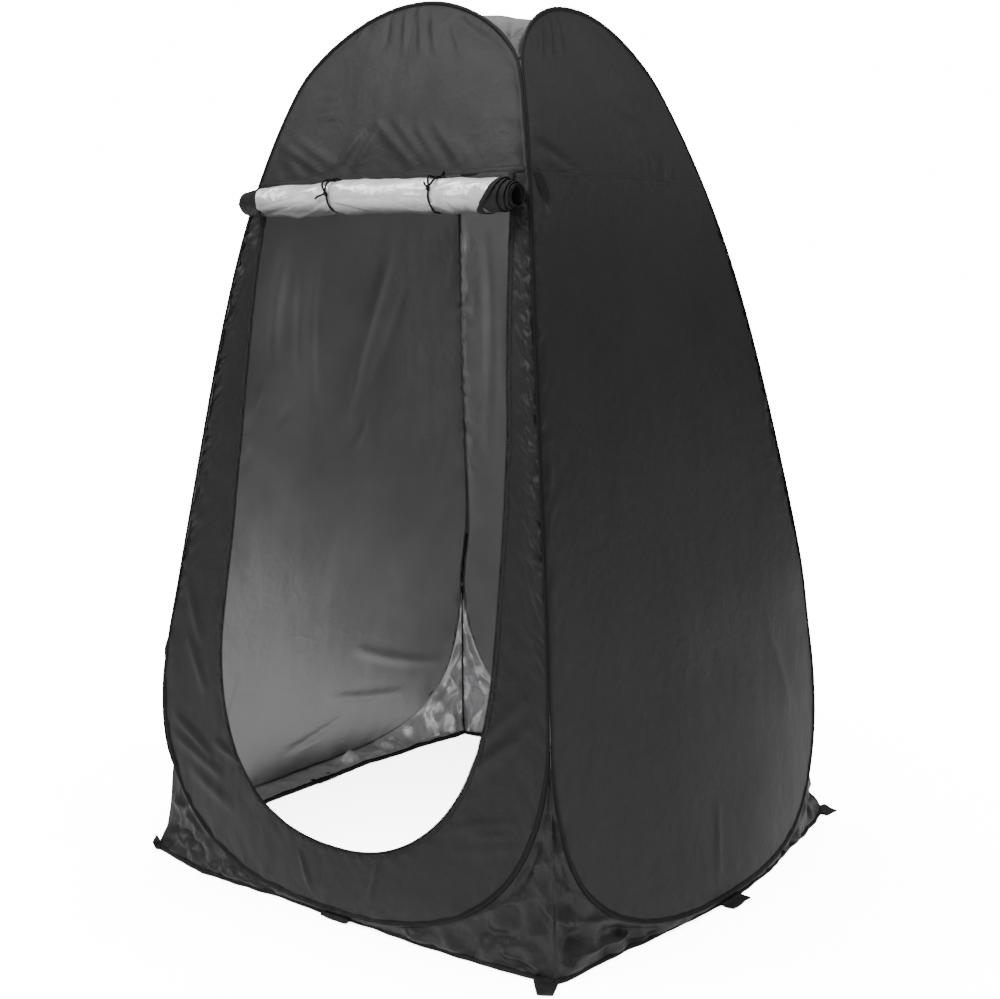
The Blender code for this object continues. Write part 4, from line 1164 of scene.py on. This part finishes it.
for number, side in enumerate(SIDES):
    after = SIDES[(number + 1) % 4]
    name = side + "_" + after
    foot = float(half_width(0.0))
    first = round(GUSSET_ROWS * foot / (foot + GUSSET_FORK))
    shells, shell_places = zip(gusset_half(name, side, 1, first), gusset_half(name, after, -1, first))
    middle = (shells[0][first:, -1] + shells[1][first:, -1]) / 2
    for shell in shells:
        shell[first:, -1] = middle
    faces = grid_faces(*shells[0].shape[:2])
    count = shells[0].shape[0] * shells[0].shape[1]
    faces = np.concatenate([faces, faces[:, ::-1] + count])
    gusset = mesh_piece(name + "_gusset", np.concatenate([s.reshape(-1, 3) for s in shells]), faces,
                        np.concatenate([s.reshape(-1, 2) for s in shell_places]), (slack_cloth, lit_slack_coat))
    shape = bmesh.new()
    shape.from_mesh(gusset.data)
    bmesh.ops.remove_doubles(shape, verts=shape.verts, dist=2e-4)
    bmesh.ops.recalc_face_normals(shape, faces=shape.faces)
    shape.to_mesh(gusset.data)
    shape.free()
    thicken(gusset, CLOTH, turned((0.7, -0.7, 0.0), side))
    fit(gusset, "black_taffeta", side + "_gusset_by_" + after, after + "_gusset_by_" + side)

    # The gusset's two halves are joined by a bound seam that shows inside as a thin black line down the corner.
    line = middle[::-1]
    diagonal = turned((1.0, -1.0, 0.0), side) / math.sqrt(2)
    level_way = turned((1.0, 1.0, 0.0), side) / math.sqrt(2)
    wander = 0.0012 * rolling(line[:, 2] / 0.02, line[:, 2] * 0.0, 980 + number)
    ring = np.stack([line + level_way * (x + wander)[:, None] - diagonal * y for x, y in SEAM_SECTION], axis=1)
    places = spread(steps_along(line), np.linspace(0.0, 0.006, len(SEAM_SECTION)))
    seam = mesh_piece(name + "_seam", ring.reshape(-1, 3), capped_tube(*ring.shape[:2]), places, (binding_cloth,))
    turn_out(seam)
    fit(seam, "webbing_black")

# Ground hem: a black woven binding folded over the gussets' lower edge, which lies on the ground on all four sides.
# It is a little fuller at the left and the back, where the slack cloth lies inside the hoop's foot.
HEM_SECTION = np.array([(-0.0045, 0.0006), (-0.0058, 0.0032), (-0.0042, 0.0080), (-0.0005, 0.0102), (0.0032, 0.0084),
                        (0.0052, 0.0036), (0.0047, 0.0006)])
HEM_FULLNESS = {"front": 0.9, "right": 0.9, "back": 1.1, "left": 1.1}
for side in SIDES:
    foot = half_width(0.0)
    u = np.linspace(-foot, foot, 360)
    around = around_at(side, u)
    zero = np.zeros_like(u)
    line = ground_line(side, u)
    out = shell_out(side, u, zero)
    at_corner = within((foot - np.abs(u)) / 0.08)
    full = 1.0 + (HEM_FULLNESS[side] - 1.0) * at_corner
    high = full * (1.0 + 0.24 * rolling(around / 0.05, zero, 970))
    wide = full * (1.0 + 0.28 * rolling(around / 0.07, zero, 971))
    points = (line[:, None] + out[:, None] * (HEM_SECTION[None, :, :1] * wide[:, None, None])
              + np.array((0.0, 0.0, 1.0)) * (HEM_SECTION[None, :, 1:] * high[:, None, None]))
    points[..., 2] = np.maximum(points[..., 2], 0.0004)
    places = spread(around, steps_along(HEM_SECTION) - 0.003)
    faces = capped_tube(*points.shape[:2])
    hem = mesh_piece(side + "_ground_hem", points.reshape(-1, 3), faces, places, (binding_cloth,))
    turn_out(hem)
    fit(hem, "webbing_black", side + "_hem")

# Stake tabs: a strip of webbing sewn into the hem and folded back on itself as a flat loop that a peg goes through.
# Four stand at the walls' middles and four, which are narrower and longer, at the corners.
WEBBING = 0.0011
# A loop's start inside the hem, its lower and upper strips' heights, and its turned end's radius.
LOOP_START, LOOP_LOW, LOOP_HIGH, LOOP_TURN = -0.008, 0.0010, 0.0048, 0.0019
webbing_finish = cloth_finish("webbing_black", (0.006, 0.006, 0.006), (0.013, 0.013, 0.013), 0.60, gloss=0.3,
                              weave=0.0018, crease=(60.0, 0.0004))


def webbing_loop(name, root, way, reach, width, seed, end_share=1.0, curl=0.0):
    """A folded strip that leaves the hem at root, runs out along the ground and comes back on top of itself."""
    turn = np.linspace(-math.pi / 2, math.pi / 2, 9)
    end = reach - 0.002
    low = np.stack([np.linspace(LOOP_START, end, 22), np.full(22, LOOP_LOW)], axis=-1)
    fold = np.stack([end + LOOP_TURN * np.cos(turn), LOOP_LOW + LOOP_TURN * (1 + np.sin(turn))], axis=-1)
    high = np.stack([np.linspace(end, LOOP_START, 22), np.full(22, LOOP_HIGH)], axis=-1)
    path = np.concatenate([low, fold[1:-1], high])
    side_steps = np.linspace(-0.5, 0.5, 13)
    way = np.array(way, float) / math.hypot(*way)
    lateral = np.array((-way[1], way[0], 0.0))
    out = path[:, None, 0]
    share = within(out / reach)
    across = side_steps[None, :] * width * (1 - (1 - end_share) * share)
    bend = 0.0030 * rolling(out / 0.020 + 0.0 * across, across / 0.030 + 0.0 * out, seed)
    rise = path[:, None, 1] + share * np.maximum(bend, -0.0008) + curl * share ** 1.4
    rise = rise + 0.0035 * within(1 - out / 0.012)
    points = np.asarray(root) + np.append(way[:2], 0.0) * out[..., None] + lateral * across[..., None]
    points[..., 2] = np.maximum(rise, 0.0008)
    places = spread(steps_along(path), across + width / 2)
    piece = mesh_piece(name, points.reshape(-1, 3), grid_faces(*points.shape[:2]), places, (webbing_finish,) * 2)
    thicken(piece, WEBBING, (0.0, 0.0, 0.0))
    fit(piece, "webbing_black")
    return piece


MIDDLE_WIDTH = 0.072
# By side: a middle tab's place and reach. By corner: its place back from the corner, way, reach, width, end, curl.
MIDDLE_TABS = {"front": (0.040, 0.016), "right": (-0.045, 0.034), "back": (0.0, 0.030), "left": (0.0, 0.030)}
CORNER_TABS = {
    "front_right": (0.016, (0.55, -0.835), 0.056, 0.050, 0.62, 0.0),
    "right_back": (0.012, (1.0, -0.15), 0.034, 0.052, 0.80, 0.0),
    "back_left": (0.0, (-0.7, 0.7), 0.044, 0.030, 1.0, 0.0),
    "left_front": (0.0, (-0.8, -0.6), 0.009, 0.046, 0.9, 0.018),
}
for number, side in enumerate(SIDES):
    after = SIDES[(number + 1) % 4]
    place, reach = MIDDLE_TABS[side]
    root = ground_line(side, np.array([place]))[0]
    outwards = turned((0.0, -1.0, 0.0), side)[:2]
    middle_tab = webbing_loop(side + "_peg_tab", root, outwards, reach, MIDDLE_WIDTH, 1100 + number)
    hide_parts(side + "_stake_tab")
    back_from, way, reach, width, end_share, curl = CORNER_TABS[side + "_" + after]
    corner = ground_line(side, np.array([float(half_width(0.0)) - back_from]))[0]
    name = side + "_" + after
    corner_tab = webbing_loop(name + "_peg_tab", corner, way, reach, width, 1110 + number, end_share, curl)
    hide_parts(name + "_stake_tab")

# Rolled door: the zip door rolled up outwards from its foot, silver side out, about ten turns of one cloth.
# It hangs from the seam behind the roll. Its zip edges make the black ends, stepped because it is widest half way
# down.
ROLL_RADIUS, ROLL_HEIGHT, ROLL_MIDDLE = 0.037, 1.4935, 0.009
ROLL_TILT = math.radians(2.2)
TIE_PLACES = (-0.096, 0.174)
ROLL_OUTER, ROLL_INNER = 0.0355, 0.0080
DOOR_CLOTH = 0.0012
EDGE_TAPE = 0.012
ROLL_GATHER, ROLL_NARROWEST = 0.0105, 0.03
FOLD_SHARE = 1.3
# By a tie: how deep the cord bites, how wide, and the height and reach of the folds that fan out from it.
TIE_BITE, BITE_WIDTH, FAN_HEIGHT, FAN_REACH = 0.0055, 0.011, 0.0060, 0.040
# Beyond the left tie nothing holds the roll: how thin it gets, how far it sinks, and how its lower front bulges.
END_THIN, END_DROOP, BULGE, BULGE_MIDDLE = 0.0040, 0.015, 0.0060, (-0.165, 0.055)
# Beyond these places along the roll, its inner turns end in the black zip edge.
BLACK_LEFT, BLACK_RIGHT = -0.296, 0.306
lift = 0.001
lean = float(half_width(ROLL_HEIGHT - lift) - half_width(ROLL_HEIGHT + lift)) / (2 * lift)
stand_off = (ROLL_RADIUS + 0.0015 + 0.0003) * math.sqrt(1 + lean * lean)
roll_centre = wall_points(np.array(DOOR_HALF_HIGH), np.array(ROLL_HEIGHT), "front")
roll_centre = Vector((ROLL_MIDDLE, float(roll_centre[1]) - stand_off, ROLL_HEIGHT))
roll_turn = Matrix.Rotation(-lean * ROLL_TILT, 3, "Z") @ Matrix.Rotation(ROLL_TILT, 3, "Y")
roll_place = Matrix.LocRotScale(roll_centre, roll_turn, None)
# The roll's own folds: (place along it, distance down its front from its middle), as for the walls.
ROLL_FOLDS = [
    ((-0.330, 0.020), (-0.130, -0.022), 0.007, 0.0050, 0.004),
    ((-0.320, 0.045), (-0.150, 0.006), 0.007, -0.0050, 0.004),
    ((-0.240, 0.052), (-0.106, 0.018), 0.006, 0.0062, 0.004),
    ((-0.200, 0.030), (-0.108, 0.004), 0.004, -0.0046, 0.0, True),
    ((-0.335, -0.030), (-0.200, -0.046), 0.008, 0.0030),
    ((-0.316, 0.060), (-0.296, 0.010), 0.005, -0.0036),
    ((-0.094, 0.016), (0.020, 0.056), 0.006, -0.0070),
    ((-0.094, 0.030), (-0.030, 0.064), 0.004, 0.0040, 0.0, True),
    ((-0.092, -0.010), (-0.050, -0.030), 0.005, 0.0030),
    ((0.090, 0.004), (0.184, 0.030), 0.006, -0.0044, 0.003),
    ((0.110, 0.030), (0.184, 0.040), 0.005, 0.0040),
    ((0.196, -0.006), (0.232, 0.038), 0.004, -0.0050, 0.0, True),
    ((0.198, 0.012), (0.226, 0.052), 0.004, 0.0046, 0.0, True),
    ((0.196, -0.014), (0.250, -0.030), 0.005, 0.0030),
    ((0.292, -0.024), (0.300, 0.048), 0.006, -0.0062, 0.004),
    ((0.272, -0.010), (0.278, 0.052), 0.006, 0.0036),
]


def roll_relief(x, turn):
    """How far the rolled cloth stands out from a plain roll, by place along it and angle round it."""
    down = (turn - math.pi) * ROLL_OUTER
    relief = 0.0
    for tie in TIE_PLACES:
        off = np.abs(x - tie)
        relief = relief - TIE_BITE * np.exp(-(off / BITE_WIDTH) ** 2)
        fan = rolling(down / 0.014, off / 0.05, 1000 + round(tie * 1000) % 97)
        relief = relief + FAN_HEIGHT * fan * np.exp(-off / FAN_REACH) * within(off / 0.006)
    relief = relief + 0.0018 * rolling(x / 0.06, down / 0.03, 1003) + 0.0009 * rolling(x / 0.022, down / 0.010, 1004)
    relief = relief - END_THIN * within((-0.112 - x) / 0.03)
    bulge = np.exp(-((x - BULGE_MIDDLE[0]) / 0.055) ** 2) * np.exp(-((down - BULGE_MIDDLE[1]) / 0.022) ** 2)
    relief = relief + BULGE * bulge
    for fold in ROLL_FOLDS:
        relief = relief + FOLD_SHARE * crease(x, down, *fold)
    return relief


def roll_droop(x):
    """How far the roll sinks beyond its left tie, where nothing holds it."""
    return -END_DROOP * np.clip((TIE_PLACES[0] - x) / 0.25, 0.0, 1.2) ** 0.9


door_height = SEAM_HEIGHT - DOOR_BOTTOM
turns = door_height / ((ROLL_OUTER + ROLL_INNER) / 2 * math.tau)
angles = np.concatenate([np.linspace(0.0, 2.0, 84)[:-1], np.linspace(2.0, turns, 196)]) * math.tau
radius = ROLL_OUTER - (ROLL_OUTER - ROLL_INNER) * angles / angles[-1]
used = np.concatenate([[0.0], np.cumsum(np.diff(angles) * (radius[1:] + radius[:-1]) / 2)])
height = SEAM_HEIGHT - used * door_height / used[-1]
halves = door_half(0)
half = np.maximum(np.interp(height, halves[:, 1], halves[:, 0]) - ROLL_GATHER, ROLL_NARROWEST)
edge_steps = np.linspace(0.0, EDGE_TAPE, 5)
middle_steps = np.linspace(0.0, 1.0, 128)[1:-1]
# The outermost turn's right edge lies askew, so the next turn's silver shows past its foot.
askew = 0.036 * np.exp(-((angles - 1.9) / 1.1) ** 2) - 0.012 * (angles < math.tau)
columns = []
for number, reach in enumerate(half):
    frayed = 0.0030 * float(rolling(angles[number] / 0.9, 0.3, 1007)) * (angles[number] > math.tau)
    left, right = -reach + 0.006 + frayed, reach + frayed - askew[number]
    between = left + EDGE_TAPE + (right - left - 2 * EDGE_TAPE) * middle_steps
    columns.append(np.concatenate([left + edge_steps, between, right - edge_steps[::-1]]))
x = np.array(columns)
phi = -angles[:, None] + 0.0 * x
outermost = np.clip(1.35 - 0.35 * angles[:, None] / math.tau, 0.1, 1.0)
r = radius[:, None] + outermost * roll_relief(x, phi % math.tau)
r = r + 0.0011 * rolling(angles[:, None] / 0.16 + 0.0 * x, x / 0.012, 1008) * (np.abs(x) > 0.30)
local = np.stack([x, r * np.cos(phi), r * np.sin(phi) + roll_droop(x)], axis=-1)
matrix = np.array(roll_place)
points = local @ matrix[:3, :3].T + matrix[:3, 3]
hang = np.linspace(0.0, 1.0, 9)[:-1, None, None]
top_edge = points[0].copy()
top_edge[:, 2] = SEAM_HEIGHT - 0.002
top_edge[:, 1] = wall_points(np.clip(top_edge[:, 0], -0.34, 0.34), top_edge[:, 2], "front")[:, 1] - 0.0030
hanging = top_edge * (1 - hang) + points[0] * hang
slack = np.sin(hang[..., 0] * math.pi)
hanging[..., 1] += 0.0022 * rolling(hanging[..., 0] / 0.03, hanging[..., 2] / 0.08, 1006) * slack
points = np.concatenate([hanging, points])
rows, count = points.shape[:2]
lead = len(hanging)
kinds = np.zeros((rows - 1, count - 1), int)
tape_cells = len(edge_steps) - 1
kinds[:, :tape_cells] = kinds[:, -tape_cells:] = 2
for row in range(rows - 1 - lead):
    middle_x = (x[row, 1:] + x[row, :-1]) / 2
    if angles[row] > math.tau * 0.97:
        frayed = 0.004 * float(rolling(angles[row] / 0.35, 0.7, 1009))
        kinds[lead + row, (middle_x < BLACK_LEFT + frayed) | (middle_x > BLACK_RIGHT + frayed)] = 2
drop = np.linalg.norm(hanging[:, count // 2] - points[lead, count // 2], axis=1)
across = np.concatenate([np.broadcast_to(x[0], (lead, count)), x])
places = spread(np.concatenate([-drop, used]), across)[:, ::-1]
# The roll's underside is painted darker below its middle, a painted shade, and its silver is painted lighter than the
# same coating inside the tent, a painted light.
door_silver_lit_and_shaded = cloth_finish("door_silver_lit_and_shaded", (0.86, 0.86, 0.87), (0.96, 0.96, 0.97), 0.34, metal=0.4,
                           crease=(24.0, 0.0012), dust=0.0, painted_underside_shade=(ROLL_HEIGHT, math.tan(ROLL_TILT), 0.13))
roll_tape = cloth_finish("zip_tape_rolled", (0.003, 0.003, 0.003), (0.008, 0.008, 0.008), 0.55, gloss=0.3,
                         weave=0.0030, crease=(200.0, 0.0010))
door = mesh_piece("rolled_door", points.reshape(-1, 3), grid_faces(rows, count), places,
                  (door_silver_lit_and_shaded, outer_cloth, roll_tape, roll_tape), kinds.ravel())
thicken(door, DOOR_CLOTH, (0.0, 0.0, 0.0))
fit(door, "silver_cloth", "door_roll")

# Door ties: two black braided cords sewn into the seam. Each goes down over the roll, once round it, and is knotted
# to itself on the front, with a loose end.
CORD_RADIUS = 0.0020
cord_finish = cloth_finish("cord_black", (0.002, 0.002, 0.002), (0.004, 0.004, 0.004), 0.65, gloss=0.15, weave=0.0016,
                           crease=(90.0, 0.0004))


def smooth_path(points, count):
    """A smooth line through points, as evenly spaced places."""
    points = np.asarray(points, float)
    steps = steps_along(points)
    slopes = np.gradient(points, steps, axis=0)
    at = np.linspace(0.0, steps[-1], count * 6)
    cell = np.clip(np.searchsorted(steps, at, side="right") - 1, 0, len(steps) - 2)
    wide = (steps[cell + 1] - steps[cell])[:, None]
    f = (at - steps[cell])[:, None] / wide
    line = ((2 * f ** 3 - 3 * f ** 2 + 1) * points[cell] + (f ** 3 - 2 * f ** 2 + f) * wide * slopes[cell]
            + (3 * f ** 2 - 2 * f ** 3) * points[cell + 1] + (f ** 3 - f ** 2) * wide * slopes[cell + 1])
    line = evenly(line, count)
    for _ in range(10):
        line[1:-1] = (line[:-2] + 2 * line[1:-1] + line[2:]) / 4
    return evenly(line, count)


def cord_tube(name, path, radius, closed=False):
    """A round cord along a path, with ends rounded off unless it is closed on itself."""
    count, sides = len(path), 10
    run = unit((np.roll(path, -1, axis=0) - np.roll(path, 1, axis=0)) if closed else np.gradient(path, axis=0))
    first = np.cross(run[0], (0.13, 0.29, 0.95))
    frames = []
    for way in run:
        first = first - way * (first @ way)
        first /= np.linalg.norm(first)
        frames.append((first, np.cross(way, first)))
    turn = np.linspace(0.0, math.tau, sides, endpoint=False)
    radii = np.full(count, radius)
    if not closed:
        radii[0], radii[-1], radii[1], radii[-2] = radius * 0.55, radius * 0.55, radius * 0.9, radius * 0.9
    points = np.array([centre + r * (np.cos(turn)[:, None] * a + np.sin(turn)[:, None] * b)
                       for centre, r, (a, b) in zip(path, radii, frames)])
    faces = grid_faces(count, sides, True, True) if closed else capped_tube(count, sides)
    tube = mesh_piece(name, points.reshape(-1, 3), faces, spread(steps_along(path), turn * radius), (cord_finish,))
    turn_out(tube)
    fit(tube, "cord_black")
    return tube


def on_roll(x, degrees, proud):
    """A place on the roll's surface: along it, degrees down its front from its top, and how far it stands proud."""
    turn = math.radians(90.0 + degrees) % math.tau
    r = ROLL_OUTER + float(roll_relief(np.array(x), np.array(turn))) + DOOR_CLOTH / 2 + CORD_RADIUS + proud
    place = Vector((x, r * math.cos(turn), r * math.sin(turn) + float(roll_droop(np.array(x)))))
    return np.array(roll_place @ place)


# By hand: the tie's place, its knot's angle down the roll, where it leaves the seam, how far its two strands bow to
# each side, and its loose end.
TIES = {
    "left": dict(tie=TIE_PLACES[0], knot=84.0, seam=(-0.013, 1.5365), swings=(-0.0110, -0.0035),
                 end=[(-0.010, 88.0, 0.0052), (-0.019, 92.0, 0.0050), (-0.027, 98.0, 0.0026)]),
    "right": dict(tie=TIE_PLACES[1], knot=66.0, seam=(-0.024, 1.5380), swings=(0.0020, 0.0095),
                  end=[(-0.005, 60.0, 0.0055), (-0.009, 54.0, 0.0065), (-0.012, 48.0, 0.0055)]),
}
for hand, tie in TIES.items():
    x, knot = tie["tie"], tie["knot"]
    seam_x = x + ROLL_MIDDLE + tie["seam"][0]
    seam_z = tie["seam"][1]
    seam_y = float(wall_points(np.array(seam_x), np.array(seam_z), "front")[1])
    start = np.array((seam_x, seam_y - 0.0045, seam_z))
    route = [start, start + (0.0, -0.004, -0.007)]
    for degrees in np.linspace(8.0, knot, 5):
        share = degrees / knot
        side_step = tie["seam"][0] * (1 - share) + tie["swings"][0] * math.sin(share * math.pi)
        route.append(on_roll(x + side_step, degrees, 0.0003))
    for degrees in np.arange(knot + 22.0, knot + 355.0, 22.0):
        share = (degrees - knot) / 360.0
        side_step = tie["swings"][1] * math.sin(max(share * 360.0 - 360.0 + knot, 0.0) / knot * math.pi)
        low_step = 0.0046 * math.sin(min(share * 2.6, 1.0) * math.pi / 2)
        route.append(on_roll(x + side_step + low_step * (1 - share), degrees, 0.0003 + 0.0034 * (share > 0.7)))
    route.append(on_roll(x - 0.0012, knot + 361.0, 0.0040))
    route += [on_roll(x + off, degrees, proud) for off, degrees, proud in tie["end"]]
    path = smooth_path(route, 150)
    cord = cord_tube(hand + "_tie_cord", path, CORD_RADIUS)
    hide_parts(hand + "_door_tie")
    middle = on_roll(x, knot, 0.0020)
    turn = np.linspace(0.0, math.tau, 72, endpoint=False)
    lump = np.stack([(2 + np.cos(3 * turn)) * np.cos(2 * turn) * 0.55, np.sin(3 * turn) * 0.8,
                     (2 + np.cos(3 * turn)) * np.sin(2 * turn)], axis=-1) * 0.0017
    spin = np.array(roll_place.to_3x3() @ Matrix.Rotation(math.radians(0.4 * knot), 3, "X"))
    knot_piece = cord_tube(hand + "_tie_knot", lump @ spin.T + middle, CORD_RADIUS * 0.85, closed=True)
    path = leaned(path)

low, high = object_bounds()
